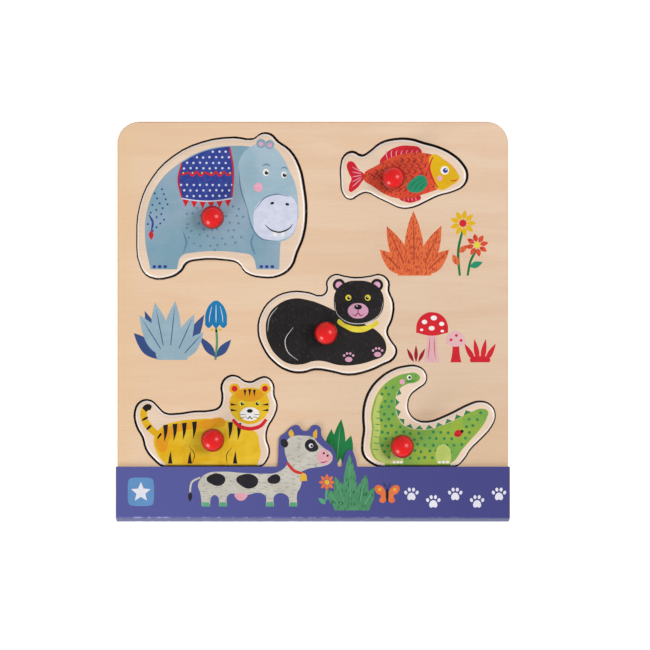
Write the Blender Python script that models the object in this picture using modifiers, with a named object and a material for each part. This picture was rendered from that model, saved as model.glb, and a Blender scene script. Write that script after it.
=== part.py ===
import math

import bmesh
import bpy
from mathutils import Vector

# Every piece of a square peg puzzle: a two-layer plywood board, five loose inserts that each
# carry a ball knob on a dowel, and a printed card sleeve folded round the lower edge.
# X runs right and Y up the picture. The pieces are drawn from the middle of the board's underside,
# and the origin then goes under the middle of the whole puzzle, on the surface it rests on.
MM = 0.001

# Board
BOARD_SIDE = 250.0 * MM
GRID_SQUARES = 250
BOARD_CORNER_RADIUS = 14.0 * MM
BOARD_EDGE_EASE = 0.5 * MM
BASE_THICKNESS = 3.0 * MM
FRAME_THICKNESS = 4.7 * MM
GLUE_LINE = 0.3 * MM

# Inserts
INSERT_THICKNESS = 5.0 * MM
INSERT_EDGE_EASE = 1.4 * MM
SEAT_GAP = 0.3 * MM
RECESS_CLEARANCE = 1.0 * MM
LOOSE_SHARE = 0.5

# Knobs and dowels
KNOB_DIAMETER = 15.0 * MM
KNOB_FLAT_DIAMETER = 8.5 * MM
KNOB_SEAT_GAP = 0.3 * MM
DOWEL_DIAMETER = 5.0 * MM
DOWEL_CLEARANCE = 0.3 * MM
DOWEL_DEPTH_IN_KNOB = 8.0 * MM
DOWEL_END_EASE = 0.4 * MM
DOWEL_SETBACK = 0.2 * MM

# Card sleeve
CARD_THICKNESS = 0.5 * MM
SLEEVE_OVERHANG = 1.0 * MM
SLEEVE_STAND_OFF = 0.8 * MM
SLEEVE_BACK_GAP = 0.3 * MM
SLEEVE_FRONT_COVER = 29.3 * MM
SLEEVE_BACK_COVER = 29.0 * MM
FOLD_GAP = 3.3 * MM
GUSSET_LEAN = 2.9 * MM
FOLD_RADIUS = 0.6 * MM
SLEEVE_TO_INSERT = 0.5 * MM

# The picture is drawn on a grid laid over the board's face, whose squares are 1 mm at this size.
# Pegs, outlines and card tabs are all given in its squares.
SQUARE = BOARD_SIDE / GRID_SQUARES

# Segments of each curved stretch
OUTLINE_SEGMENTS = 3
BOARD_EDGE_SEGMENTS = 1
INSERT_EDGE_SEGMENTS = 3
FOLD_SEGMENTS = 2
CORNER_SEGMENTS = 8
HOLE_SIDES = 16
KNOB_SIDES = 24
KNOB_ARC_STEPS = 9
TAB_SEGMENTS = 4

# Peg centres from the middle of the board
HIPPO_PEG = (-63.5, 63.5)
FISH_PEG = (51.5, 89.0)
BEAR_PEG = (8.5, -10.5)
TIGER_PEG = (-64.0, -78.5)
DINOSAUR_PEG = (56.5, -82.5)

FLAT = "flat"
CORNER = "corner"
FOOT_HANDLE = 3.0

# Heights worked out from the sizes above
FRAME_BOTTOM = BASE_THICKNESS + GLUE_LINE
BOARD_TOP = FRAME_BOTTOM + FRAME_THICKNESS
INSERT_BOTTOM = BASE_THICKNESS + SEAT_GAP
INSERT_TOP = INSERT_BOTTOM + INSERT_THICKNESS
KNOB_BOTTOM = INSERT_TOP + KNOB_SEAT_GAP
DOWEL_BOTTOM = INSERT_BOTTOM + DOWEL_SETBACK
DOWEL_TOP = KNOB_BOTTOM + DOWEL_DEPTH_IN_KNOB
SLEEVE_EDGE_Y = -BOARD_SIDE / 2 + SLEEVE_FRONT_COVER

# Card tabs that stand above the sleeve's front edge: across, and up from the edge
COW_TAB = [
    (-22.5, 0.0, CORNER), (-22.1, 8.0), (-21.9, 14.5), (-21.0, 19.3), (-17.5, 21.8), (-14.0, 25.5),
    (-9.5, 26.5), (-6.5, 23.2), (-3.0, 23.2), (0.0, 26.5), (4.5, 25.5), (5.5, 20.2), (8.5, 15.7),
    (13.0, 11.7), (15.0, 6.0), (16.0, 0.0, CORNER),
]
BUD_TAB = [
    (18.7, 0.0, CORNER), (20.0, 6.0), (23.5, 11.0), (27.0, 6.0), (28.3, 0.0, CORNER),
]


def foot_of(peg):
    """Height of an insert's straight foot above its peg, just clear of the sleeve's edge."""
    return (SLEEVE_EDGE_Y + SLEEVE_TO_INSERT) / SQUARE - peg[1]


# Insert outlines from the peg, clockwise from the left
def hippo_outline():
    back = [(-48.5, -12), (-46.5, 8), (-39, 25), (-25.5, 39), (-7, 48), (13.5, 51), (25.5, 50)]
    ear = [(31, 53.5), (36.5, 53), (41, 48.5)]
    head = [(48.5, 43), (54.5, 33), (57.5, 20), (59, 3), (57, -12), (53, -22)]
    front_foot = [(49.5, -31), (42, -36.5), (31, -37.5), (21, -34.5), (16, -28.5)]
    belly = [(8, -26.5), (-11.5, -26.5)]
    rear_foot = [(-17.5, -28.5), (-21, -33.5), (-28, -37.5), (-40.5, -37.5), (-46, -31.5)]
    return back + ear + head + front_foot + belly + rear_foot


def fish_outline():
    upper_tail = [(-33, 0), (-33, 7.5), (-31, 14), (-26, 16.5), (-20, 14)]
    back_fin = [(-15, 16.5), (-8, 22), (1, 24.5), (11, 24.5), (19.5, 22)]
    head = [(28.5, 19.5), (37.5, 15), (44, 9), (47, 2.5), (45, -4), (38, -8), (29, -10.5)]
    belly_fin = [(21.5, -14), (12.5, -18), (5, -18.5), (-2, -15.5)]
    lower_tail = [(-9.5, -12), (-17, -8.5), (-22, -10), (-27.5, -13), (-31.5, -10)]
    return upper_tail + back_fin + head + belly_fin + lower_tail


def bear_outline():
    back = [(-43, 1.5), (-41, 12.5), (-34, 21.5), (-23, 26), (-11.5, 25.5), (-3, 23.5)]
    left_ear = [(1, 27), (1, 33), (5.5, 37), (11.5, 36)]
    right_ear = [(19, 35), (28.5, 36), (34.5, 37), (39.5, 33)]
    cheek = [(39.5, 27), (42.5, 19.5), (41.5, 9), (38.5, 1)]
    paws = [(41, -5), (44.5, -10.5), (42.5, -16), (36, -19.5), (27, -23.5), (14, -26), (4, -24)]
    haunch = [(-7, -22.5), (-15, -24.5), (-24, -23.5), (-33.5, -17.5), (-40, -8.5)]
    return back + left_ear + right_ear + cheek + paws + haunch


def tiger_outline():
    foot = foot_of(TIGER_PEG)
    rear_leg = [(-31, foot, FLAT), (-38, foot + 5), (-42.5, foot + 11), (-44.5, 1.5)]
    tail = [(-48.5, 9), (-49.5, 18), (-46, 24), (-40, 24.5), (-35.5, 20.5), (-31, 16.5)]
    back = [(-23, 16), (-12, 17.5), (-2, 18), (4.5, 20.5)]
    left_ear = [(6.5, 27), (6, 35), (10, 40), (15.5, 40), (20, 37)]
    right_ear = [(25, 36.5), (29, 38.5), (34, 39.5), (38, 35.5)]
    cheek = [(38.5, 28.5), (40.5, 22), (38.5, 15), (34.5, 8), (33.5, 0.5)]
    front_leg = [(35.5, foot + 10.5), (34, foot + 4), (29, foot, FLAT)]
    return rear_leg + tail + back + left_ear + right_ear + cheek + front_leg


def dinosaur_outline():
    foot = foot_of(DINOSAUR_PEG)
    chest = [(-12.5, foot, FLAT), (-19.5, foot + 2.5), (-24, foot + 7.5), (-24.5, 2), (-23.5, 10)]
    neck = [(-24, 18.5), (-23, 27.5), (-19.5, 36), (-13.5, 43), (-6, 48)]
    head = [(2.5, 50.5), (10, 50.5), (15, 46.5), (15, 41), (10, 37), (5.5, 33)]
    back = [(3.5, 27), (4.5, 21), (9.5, 16), (17.5, 15), (26.5, 18), (35, 22)]
    tail = [(43, 26), (50.5, 28), (57, 25.5), (59.5, 19.5), (57, 12.5), (50.5, 5), (43.5, -2)]
    rear_leg = [(39.5, foot + 4.5), (33.5, foot, FLAT)]
    return chest + neck + head + back + tail + rear_leg


# How each insert lies in its recess: the side that it has slid towards
INSERTS = {
    "hippo": (HIPPO_PEG, hippo_outline, (-1.0, 0.0)),
    "fish": (FISH_PEG, fish_outline, (-0.7, -0.7)),
    "bear": (BEAR_PEG, bear_outline, (-0.2, 0.5)),
    "tiger": (TIGER_PEG, tiger_outline, (0.3, 0.0)),
    "dinosaur": (DINOSAUR_PEG, dinosaur_outline, (1.0, 0.0)),
}


def clear_scene():
    for item in list(bpy.data.objects):
        bpy.data.objects.remove(item, do_unlink=True)


def new_collection(name):
    collection = bpy.data.collections.new(name)
    bpy.context.scene.collection.children.link(collection)
    return collection


def new_material(name, color, roughness):
    material = bpy.data.materials.new(name)
    material.use_nodes = True
    shader = material.node_tree.nodes["Principled BSDF"]
    shader.inputs["Base Color"].default_value = (*color, 1.0)
    shader.inputs["Roughness"].default_value = roughness
    shader.inputs["Metallic"].default_value = 0.0
    material.diffuse_color = (*color, 1.0)
    return material


def with_kind(point):
    x, y, *kind = point
    return x, y, kind[0] if kind else None


def grown(points, margin):
    """The outline moved outwards by a margin, along the normal of each of its points."""
    moved = []
    count = len(points)
    for index, point in enumerate(points):
        x, y, kind = with_kind(point)
        here = Vector((x, y))
        before = Vector(points[index - 1][:2])
        after = Vector(points[(index + 1) % count][:2])
        along = (here - before).normalized() + (after - here).normalized()
        outward = Vector((0.0, -1.0)) if kind == FLAT else Vector((-along.y, along.x)).normalized()
        place = here + outward * margin
        moved.append((place.x, place.y, kind))
    return moved


def rounded_square(side, radius):
    """Corners as arcs, anticlockwise, in metres."""
    reach = side / 2 - radius
    points = []
    for turn, (across, up) in enumerate([(1, 1), (-1, 1), (-1, -1), (1, -1)]):
        for step in range(CORNER_SEGMENTS + 1):
            angle = math.radians(90 * (turn + step / CORNER_SEGMENTS))
            points.append((across * reach + radius * math.cos(angle), up * reach + radius * math.sin(angle)))
    return points


def new_flat_curve(name):
    curve = bpy.data.curves.new(name, "CURVE")
    curve.dimensions = "2D"
    curve.fill_mode = "BOTH"
    return curve


def add_straight_spline(curve, points):
    spline = curve.splines.new("POLY")
    spline.points.add(len(points) - 1)
    for corner, (x, y) in zip(spline.points, points):
        corner.co = (x, y, 0.0, 1.0)
    spline.use_cyclic_u = True


def add_smooth_spline(curve, points, centre=(0.0, 0.0), segments=OUTLINE_SEGMENTS):
    """A closed smooth line through points on the grid, offset to a centre."""
    spline = curve.splines.new("BEZIER")
    spline.bezier_points.add(len(points) - 1)
    spline.resolution_u = segments
    spline.use_cyclic_u = True
    for knot, point in zip(spline.bezier_points, points):
        x, y, kind = with_kind(point)
        knot.co = ((x + centre[0]) * SQUARE, (y + centre[1]) * SQUARE, 0.0)
        knot.handle_left_type = "VECTOR" if kind == CORNER else "AUTO"
        knot.handle_right_type = "VECTOR" if kind == CORNER else "AUTO"
    level_flat_points(spline, points)


def level_flat_points(spline, points):
    """Joins a foot's two flat points by a straight line, and turns the curve level where it meets it."""
    count = len(points)
    for index, point in enumerate(points):
        if with_kind(point)[2] != FLAT:
            continue
        after = (index + 1) % count
        foot_ahead = with_kind(points[after])[2] == FLAT
        knot = spline.bezier_points[index]
        curved = spline.bezier_points[index - 1 if foot_ahead else after]
        across = curved.co.x - knot.co.x
        reach = math.copysign(min(abs(across), FOOT_HANDLE * SQUARE), across)
        knot.handle_left_type = "FREE" if foot_ahead else "VECTOR"
        knot.handle_right_type = "VECTOR" if foot_ahead else "FREE"
        level = knot.co + Vector((reach, 0.0, 0.0))
        if foot_ahead:
            knot.handle_left = level
        else:
            knot.handle_right = level


def mesh_from_curve(name, curve, collection):
    """Makes a welded mesh object of a curve and removes the curve."""
    holder = bpy.data.objects.new(name + "_curve", curve)
    collection.objects.link(holder)
    depsgraph = bpy.context.evaluated_depsgraph_get()
    mesh = bpy.data.meshes.new_from_object(holder.evaluated_get(depsgraph))
    mesh.name = name
    body = bmesh.new()
    body.from_mesh(mesh)
    bmesh.ops.remove_doubles(body, verts=body.verts, dist=0.001 * MM)
    body.to_mesh(mesh)
    body.free()
    made = bpy.data.objects.new(name, mesh)
    made.matrix_world = holder.matrix_world
    collection.objects.link(made)
    bpy.data.objects.remove(holder, do_unlink=True)
    bpy.data.curves.remove(curve)
    return made


def set_plate_section(curve, thickness, ease, segments):
    """Extrudes a flat curve to a thickness, with both edges rounded inside the outline."""
    curve.extrude = thickness / 2 - ease
    curve.bevel_depth = ease
    curve.bevel_resolution = segments - 1
    curve.offset = -ease


def cut_level(item, height, keep_above):
    """Cuts a plate at a height of its own and closes the cut, so that this face has no rounding."""
    body = bmesh.new()
    body.from_mesh(item.data)
    every = body.verts[:] + body.edges[:] + body.faces[:]
    cut = bmesh.ops.bisect_plane(
        body, geom=every, plane_co=(0.0, 0.0, height), plane_no=(0.0, 0.0, 1.0),
        clear_inner=keep_above, clear_outer=not keep_above, dist=0.0001 * MM,
    )
    rim = [part for part in cut["geom_cut"] if isinstance(part, bmesh.types.BMEdge)]
    bmesh.ops.triangle_fill(body, edges=rim, use_dissolve=False, use_beauty=True)
    bmesh.ops.recalc_face_normals(body, faces=body.faces)
    body.to_mesh(item.data)
    body.free()


def finish(item, material, smooth_angle=40.0):
    item.data.materials.clear()
    item.data.materials.append(material)
    if item.type == "MESH":
        item.data.shade_smooth()
        item.data.set_sharp_from_angle(angle=math.radians(smooth_angle))


def build_base_board(collection, material):
    curve = new_flat_curve("base_board")
    add_straight_spline(curve, rounded_square(BOARD_SIDE, BOARD_CORNER_RADIUS))
    set_plate_section(curve, BASE_THICKNESS + BOARD_EDGE_EASE, BOARD_EDGE_EASE, BOARD_EDGE_SEGMENTS)
    board = mesh_from_curve("base_board", curve, collection)
    cut_level(board, (BASE_THICKNESS - BOARD_EDGE_EASE) / 2, keep_above=False)
    board.location.z = (BASE_THICKNESS + BOARD_EDGE_EASE) / 2
    finish(board, material)
    return board


def build_frame_board(collection, material):
    curve = new_flat_curve("frame_board")
    add_straight_spline(curve, rounded_square(BOARD_SIDE, BOARD_CORNER_RADIUS))
    for peg, outline, _ in INSERTS.values():
        add_smooth_spline(curve, grown(outline(), RECESS_CLEARANCE / SQUARE), peg)
    set_plate_section(curve, FRAME_THICKNESS + BOARD_EDGE_EASE, BOARD_EDGE_EASE, BOARD_EDGE_SEGMENTS)
    board = mesh_from_curve("frame_board", curve, collection)
    cut_level(board, -(FRAME_THICKNESS - BOARD_EDGE_EASE) / 2, keep_above=True)
    board.location.z = BOARD_TOP - (FRAME_THICKNESS + BOARD_EDGE_EASE) / 2
    finish(board, material)
    return board


def new_cylinder(name, radius, length, collection):
    bpy.ops.mesh.primitive_cylinder_add(vertices=HOLE_SIDES, radius=radius, depth=length)
    cylinder = bpy.context.active_object
    cylinder.name = name
    cylinder.data.name = name
    for holder in list(cylinder.users_collection):
        holder.objects.unlink(cylinder)
    collection.objects.link(cylinder)
    return cylinder


def drill_through(plate, name, cutters):
    """Drills the dowel's hole with sharp edges through the middle of a plate."""
    drill = new_cylinder(name, DOWEL_DIAMETER / 2 + DOWEL_CLEARANCE, 2 * INSERT_THICKNESS, cutters)
    drill.location = plate.location
    drill.hide_render = True
    drill.display_type = "WIRE"
    hole = plate.modifiers.new("dowel_hole", "BOOLEAN")
    hole.operation = "DIFFERENCE"
    hole.solver = "EXACT"
    hole.object = drill


def build_insert(name, outline, place, collection, cutters, material):
    curve = new_flat_curve(name + "_insert")
    add_smooth_spline(curve, list(reversed(outline)))
    set_plate_section(curve, INSERT_THICKNESS, INSERT_EDGE_EASE, INSERT_EDGE_SEGMENTS)
    plate = mesh_from_curve(name + "_insert", curve, collection)
    plate.location = (place.x, place.y, (INSERT_BOTTOM + INSERT_TOP) / 2)
    finish(plate, material)
    drill_through(plate, name + "_drill", cutters)
    return plate


def knob_profile():
    """Half section from the crown down the ball to its flat foot, and up the dowel's blind hole."""
    radius = KNOB_DIAMETER / 2
    foot = KNOB_FLAT_DIAMETER / 2
    centre = math.sqrt(radius ** 2 - foot ** 2)
    lowest = math.pi / 2 + math.acos(foot / radius)
    section = []
    for step in range(KNOB_ARC_STEPS + 1):
        angle = lowest * step / KNOB_ARC_STEPS
        section.append((radius * math.sin(angle), centre + radius * math.cos(angle)))
    hole = DOWEL_DIAMETER / 2 + DOWEL_CLEARANCE
    hole_top = DOWEL_DEPTH_IN_KNOB + DOWEL_CLEARANCE
    return section + [(hole, 0.0), (hole, hole_top), (0.0, hole_top)]


def build_knob(name, place, collection, material):
    mesh = bpy.data.meshes.new(name + "_knob")
    body = bmesh.new()
    section = [body.verts.new((x, 0.0, z)) for x, z in knob_profile()]
    for upper, lower in zip(section, section[1:]):
        body.edges.new((upper, lower))
    body.to_mesh(mesh)
    body.free()
    knob = bpy.data.objects.new(name + "_knob", mesh)
    collection.objects.link(knob)
    turning = knob.modifiers.new("turning", "SCREW")
    turning.steps = KNOB_SIDES
    turning.render_steps = KNOB_SIDES
    turning.use_merge_vertices = True
    turning.merge_threshold = 0.01 * MM
    turning.use_smooth_shade = True
    knob.location = (place.x, place.y, KNOB_BOTTOM)
    knob.data.materials.append(material)
    return knob


def build_dowel(name, place, collection, material):
    dowel = new_cylinder(name + "_dowel", DOWEL_DIAMETER / 2, DOWEL_TOP - DOWEL_BOTTOM, collection)
    ends = dowel.modifiers.new("eased_ends", "BEVEL")
    ends.width = DOWEL_END_EASE
    ends.segments = 1
    ends.limit_method = "ANGLE"
    ends.angle_limit = math.radians(60)
    dowel.location = (place.x, place.y, (DOWEL_BOTTOM + DOWEL_TOP) / 2)
    finish(dowel, material)
    return dowel


def sleeve_front_outline():
    """The front panel on the grid, anticlockwise from its lower left corner."""
    side = (BOARD_SIDE / 2 + SLEEVE_OVERHANG) / SQUARE
    fold = (-BOARD_SIDE / 2 - FOLD_GAP) / SQUARE
    edge = SLEEVE_EDGE_Y / SQUARE
    tabs = []
    for point in reversed(COW_TAB + BUD_TAB):
        x, up, kind = with_kind(point)
        tabs.append((x, edge + up, kind))
    lower = [(-side, fold, CORNER), (side, fold, CORNER)]
    return lower + [(side, edge, CORNER)] + tabs + [(-side, edge, CORNER)]


def build_card_sleeve(collection, material):
    curve = new_flat_curve("card_sleeve")
    curve.fill_mode = "NONE"
    add_smooth_spline(curve, sleeve_front_outline(), segments=TAB_SEGMENTS)
    sleeve = mesh_from_curve("card_sleeve", curve, collection)
    body = bmesh.new()
    body.from_mesh(sleeve.data)
    bmesh.ops.dissolve_limit(body, angle_limit=math.radians(0.05), verts=body.verts, edges=body.edges)
    bmesh.ops.contextual_create(body, geom=body.edges)
    front_z = BOARD_TOP + SLEEVE_STAND_OFF
    back_z = -SLEEVE_BACK_GAP
    fold_y = -BOARD_SIDE / 2 - FOLD_GAP
    back_edge_y = -BOARD_SIDE / 2 + SLEEVE_BACK_COVER
    bmesh.ops.translate(body, verts=body.verts, vec=(0.0, 0.0, front_z))
    near_fold = 0.01 * MM
    fold = [edge for edge in body.edges if all(abs(v.co.y - fold_y) < near_fold for v in edge.verts)]
    gusset = bmesh.ops.extrude_edge_only(body, edges=fold)["geom"]
    gusset_verts = [part for part in gusset if isinstance(part, bmesh.types.BMVert)]
    bmesh.ops.translate(body, verts=gusset_verts, vec=(0.0, -GUSSET_LEAN, back_z - front_z))
    lower_fold = [part for part in gusset if isinstance(part, bmesh.types.BMEdge)]
    back = bmesh.ops.extrude_edge_only(body, edges=lower_fold)["geom"]
    back_verts = [part for part in back if isinstance(part, bmesh.types.BMVert)]
    reach = back_edge_y - (fold_y - GUSSET_LEAN)
    bmesh.ops.translate(body, verts=back_verts, vec=(0.0, reach, 0.0))
    bmesh.ops.recalc_face_normals(body, faces=body.faces)
    if max(body.faces, key=lambda face: face.calc_center_median().z).normal.z < 0:
        bmesh.ops.reverse_faces(body, faces=body.faces)
    body.to_mesh(sleeve.data)
    body.free()
    folds = sleeve.modifiers.new("folds", "BEVEL")
    folds.width = FOLD_RADIUS
    folds.segments = FOLD_SEGMENTS
    folds.limit_method = "ANGLE"
    folds.angle_limit = math.radians(30)
    card = sleeve.modifiers.new("card", "SOLIDIFY")
    card.thickness = CARD_THICKNESS
    card.offset = 1.0
    card.use_even_offset = True
    finish(sleeve, material, smooth_angle=20.0)
    return sleeve


def stand_on_origin(collection, cutters):
    """Carries every piece on one empty, placed so that the origin is under the middle of the puzzle."""
    bpy.context.view_layer.update()
    depsgraph = bpy.context.evaluated_depsgraph_get()
    corners = []
    for item in collection.objects:
        built = item.evaluated_get(depsgraph)
        corners += [built.matrix_world @ Vector(corner) for corner in built.bound_box]
    low, high = [Vector(pick(corner[i] for corner in corners) for i in range(3)) for pick in (min, max)]
    carrier = bpy.data.objects.new("puzzle_carrier", None)
    bpy.context.scene.collection.objects.link(carrier)
    for item in list(collection.objects) + list(cutters.objects):
        item.parent = carrier
    carrier.location = (-(low.x + high.x) / 2, -(low.y + high.y) / 2, -low.z)


def build_puzzle():
    clear_scene()
    collection = new_collection("wooden_animal_puzzle")
    cutters = new_collection("cutters")
    plywood = new_material("pale_plywood", (0.80, 0.56, 0.38), 0.55)
    backing = new_material("backing_plywood", (0.74, 0.52, 0.34), 0.65)
    insert_wood = new_material("insert_plywood", (0.86, 0.71, 0.56), 0.5)
    dowel_wood = new_material("dowel_birch", (0.76, 0.58, 0.40), 0.6)
    lacquer = new_material("red_lacquer", (0.77, 0.03, 0.03), 0.15)
    card = new_material("violet_card", (0.11, 0.11, 0.33), 0.45)
    build_base_board(collection, backing)
    build_frame_board(collection, plywood)
    for name, (peg, outline, lean) in INSERTS.items():
        slide = RECESS_CLEARANCE * LOOSE_SHARE
        place = Vector((peg[0] * SQUARE + lean[0] * slide, peg[1] * SQUARE + lean[1] * slide))
        build_insert(name, outline(), place, collection, cutters, insert_wood)
        build_knob(name, place, collection, lacquer)
        build_dowel(name, place, collection, dowel_wood)
    build_card_sleeve(collection, card)
    stand_on_origin(collection, cutters)


build_puzzle()
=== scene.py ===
import bmesh
import bpy
import math
import random
from mathutils import Matrix, Vector


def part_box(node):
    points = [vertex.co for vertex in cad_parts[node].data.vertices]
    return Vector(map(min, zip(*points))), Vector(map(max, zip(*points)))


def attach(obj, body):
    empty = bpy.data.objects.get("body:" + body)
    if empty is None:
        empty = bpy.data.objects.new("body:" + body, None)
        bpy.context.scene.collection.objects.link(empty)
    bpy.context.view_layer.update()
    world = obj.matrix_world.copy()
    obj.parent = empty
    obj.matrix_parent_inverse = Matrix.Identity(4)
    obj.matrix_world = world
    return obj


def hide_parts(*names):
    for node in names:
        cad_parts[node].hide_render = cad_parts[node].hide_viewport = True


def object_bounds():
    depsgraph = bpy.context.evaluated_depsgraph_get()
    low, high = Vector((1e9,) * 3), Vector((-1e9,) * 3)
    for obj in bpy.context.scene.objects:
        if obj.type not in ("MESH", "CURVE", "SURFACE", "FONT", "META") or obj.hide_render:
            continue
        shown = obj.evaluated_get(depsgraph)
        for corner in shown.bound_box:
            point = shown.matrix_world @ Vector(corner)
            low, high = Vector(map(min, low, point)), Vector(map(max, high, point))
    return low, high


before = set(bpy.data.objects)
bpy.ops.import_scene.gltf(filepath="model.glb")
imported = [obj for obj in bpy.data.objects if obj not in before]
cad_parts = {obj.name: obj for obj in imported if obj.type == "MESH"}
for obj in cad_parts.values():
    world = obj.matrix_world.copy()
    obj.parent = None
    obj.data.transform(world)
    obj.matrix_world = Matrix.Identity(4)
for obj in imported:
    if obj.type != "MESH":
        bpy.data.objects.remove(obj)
cadLow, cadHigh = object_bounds()
print("frame loaded")

mm = 0.001
scene = bpy.context.scene

# The photo looks straight down. Its scale and the board's middle were read from the board's edges.
photo = {
    "pixels": 650,
    "pixelSize": 0.640 * mm,
    "boardMiddle": (312.9, 317.0),
    "cameraHeight": 1.6,
    "sensor": 36.0,
}

boardLow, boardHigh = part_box("frame_board")
boardMiddle = (boardLow + boardHigh) / 2
boardTop = boardHigh.z
boardHalf = (boardHigh.x - boardLow.x) / 2


def addCamera():
    lens = bpy.data.cameras.new("photoCamera")
    lens.sensor_width = photo["sensor"]
    lens.lens = photo["sensor"] * photo["cameraHeight"] / (photo["pixels"] * photo["pixelSize"])
    camera = bpy.data.objects.new("photoCamera", lens)
    scene.collection.objects.link(camera)
    across = (photo["pixels"] / 2 - photo["boardMiddle"][0]) * photo["pixelSize"]
    down = (photo["pixels"] / 2 - photo["boardMiddle"][1]) * photo["pixelSize"]
    camera.location = (boardMiddle.x + across, boardMiddle.y - down, boardTop + photo["cameraHeight"])
    scene.camera = camera
    scene.view_settings.view_transform = "Standard"


# The direction of each box was worked out from its highlight on the knobs
lighting = {
    "highBox": {"towards": (0.66, 0.15, 0.73), "distance": 2.8, "size": (1.05, 1.35), "radiance": 8.2},
    "lowBox": {"towards": (-0.62, -0.72, 0.33), "distance": 2.8, "size": (1.00, 1.00), "radiance": 12.5},
    "room": (0.97, 0.985, 1.0, 1.0),
    "roomStrength": 0.54,
}


def addLights():
    for name in ("highBox", "lowBox"):
        box = lighting[name]
        lamp = bpy.data.lights.new(name, "AREA")
        lamp.shape = "RECTANGLE"
        lamp.size, lamp.size_y = box["size"]
        lamp.energy = box["radiance"] * math.pi * lamp.size * lamp.size_y
        holder = bpy.data.objects.new(name, lamp)
        scene.collection.objects.link(holder)
        towards = Vector(box["towards"]).normalized()
        holder.location = boardMiddle + towards * box["distance"]
        holder.rotation_euler = (-towards).to_track_quat("-Z", "Y").to_euler()
    world = bpy.data.worlds.new("room")
    world.use_nodes = True
    sky = world.node_tree.nodes["Background"]
    sky.inputs["Color"].default_value = lighting["room"]
    sky.inputs["Strength"].default_value = lighting["roomStrength"]
    scene.world = world


# A field is one socket of a material, and arithmetic on fields adds Math nodes
class Field:
    def __init__(self, finish, socket):
        self.finish = finish
        self.socket = socket

    def __add__(self, other):
        return self.finish.maths("ADD", self, other)

    def __sub__(self, other):
        return self.finish.maths("SUBTRACT", self, other)

    def __rsub__(self, other):
        return self.finish.maths("SUBTRACT", other, self)

    def __mul__(self, other):
        return self.finish.maths("MULTIPLY", self, other)

    def __truediv__(self, other):
        return self.finish.maths("DIVIDE", self, other)

    __radd__ = __add__
    __rmul__ = __mul__

    def size(self):
        return self.finish.maths("ABSOLUTE", self, 0.0)

    def larger(self, other):
        return self.finish.maths("MAXIMUM", self, other)

    def zigzag(self, reach):  # up to reach and back down, over and over
        return self.finish.maths("PINGPONG", self, reach)


class Finish:
    def __init__(self, name):
        self.material = bpy.data.materials.new(name)
        self.material.use_nodes = True
        self.tree = self.material.node_tree
        self.tree.nodes.clear()
        self.place = self.node("TexCoord", output="Object")
        self.x, self.y, self.z = self.split(self.place)
        self.east, self.north, self.up = self.split(self.node("TexCoord", output="Normal"))

    def node(self, kind, settings=None, values=None, output=0):
        made = self.tree.nodes.new("ShaderNode" + kind)
        for name, setting in (settings or {}).items():
            setattr(made, name, setting)
        for name, value in (values or {}).items():
            if isinstance(value, Field):
                self.tree.links.new(value.socket, made.inputs[name])
            else:
                made.inputs[name].default_value = value
        return Field(self, made.outputs[output]) if made.outputs else None

    def maths(self, operation, first, second):
        return self.node("Math", {"operation": operation}, {0: first, 1: second})

    def mix(self, share, first, second, blend="MIX"):
        settings = {"data_type": "RGBA", "blend_type": blend}
        return self.node("Mix", settings, {0: share, 6: first, 7: second}, output=2)

    def split(self, vector):
        return [self.node("SeparateXYZ", values={0: vector}, output=axis) for axis in range(3)]

    def spread(self, per, turn=0.0):  # the place, turned about Z, with its axes in repeats per metre
        place = self.place
        if turn:
            values = {"Vector": place, "Angle": math.radians(turn)}
            place = self.node("VectorRotate", {"rotation_type": "Z_AXIS"}, values)
        return self.node("VectorMath", {"operation": "MULTIPLY"}, {0: place, 1: per})

    def noise(self, per, detail=2.0, rough=0.5, twist=0.0, turn=0.0):
        values = {"Vector": self.spread(per, turn), "Scale": 1.0, "Detail": detail,
                  "Roughness": rough, "Distortion": twist}
        return self.node("TexNoise", {"noise_dimensions": "3D"}, values)

    def step(self, value, low, high):  # a soft step, 0 at low and 1 at high
        values = {"Value": value, "From Min": low, "From Max": high}
        return self.node("MapRange", {"interpolation_type": "SMOOTHSTEP"}, values)

    def ramps(self, value, ramps):  # soft steps added up, each given as low, high and height
        total = 0.0
        for low, high, height in ramps:
            total = self.step(value, low, high) * height + total
        return total

    def rounded(self, radius):  # the normal, eased over the edges
        return self.node("Bevel", {"samples": 8}, {"Radius": radius})

    def bump(self, height, depth, strength=1.0, over=None):
        values = {"Height": height, "Distance": depth, "Strength": strength}
        if over:
            values["Normal"] = over
        return self.node("Bump", values=values)

    def close(self, values):
        shader = self.node("BsdfPrincipled", values=values)
        self.node("OutputMaterial", values={"Surface": shader})
        return self.material


def ink(code):  # a screen colour, as linear light
    parts = [int(code[at:at + 2], 16) / 255 for at in (0, 2, 4)]
    return (*[part / 12.92 if part < 0.04 else ((part + 0.055) / 1.055) ** 2.4 for part in parts], 1.0)


# Long fibres, short flecks and a slow drift of tone, all along X, in repeats per metre
grain = {
    "drift": (9.0, 70.0, 70.0),
    "fibres": (26.0, 900.0, 900.0),
    "flecks": (260.0, 2600.0, 2600.0),
    "driftEdge": (0.34, 0.66),
    "fleckEdge": (0.58, 0.70),
    "fibreDepth": 0.13,
    "fleckDepth": 0.055,
    "bump": 0.03 * mm,
}


def grainFields(finish):
    drift = finish.step(finish.noise(grain["drift"], detail=3.0, twist=0.5), *grain["driftEdge"])
    fibres = finish.noise(grain["fibres"], detail=4.0, rough=0.6, twist=0.15)
    flecks = finish.step(finish.noise(grain["flecks"], detail=1.0), *grain["fleckEdge"])
    shade = 1 + (fibres - 0.5) * grain["fibreDepth"] - flecks * grain["fleckDepth"]
    return drift, fibres, shade


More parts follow.
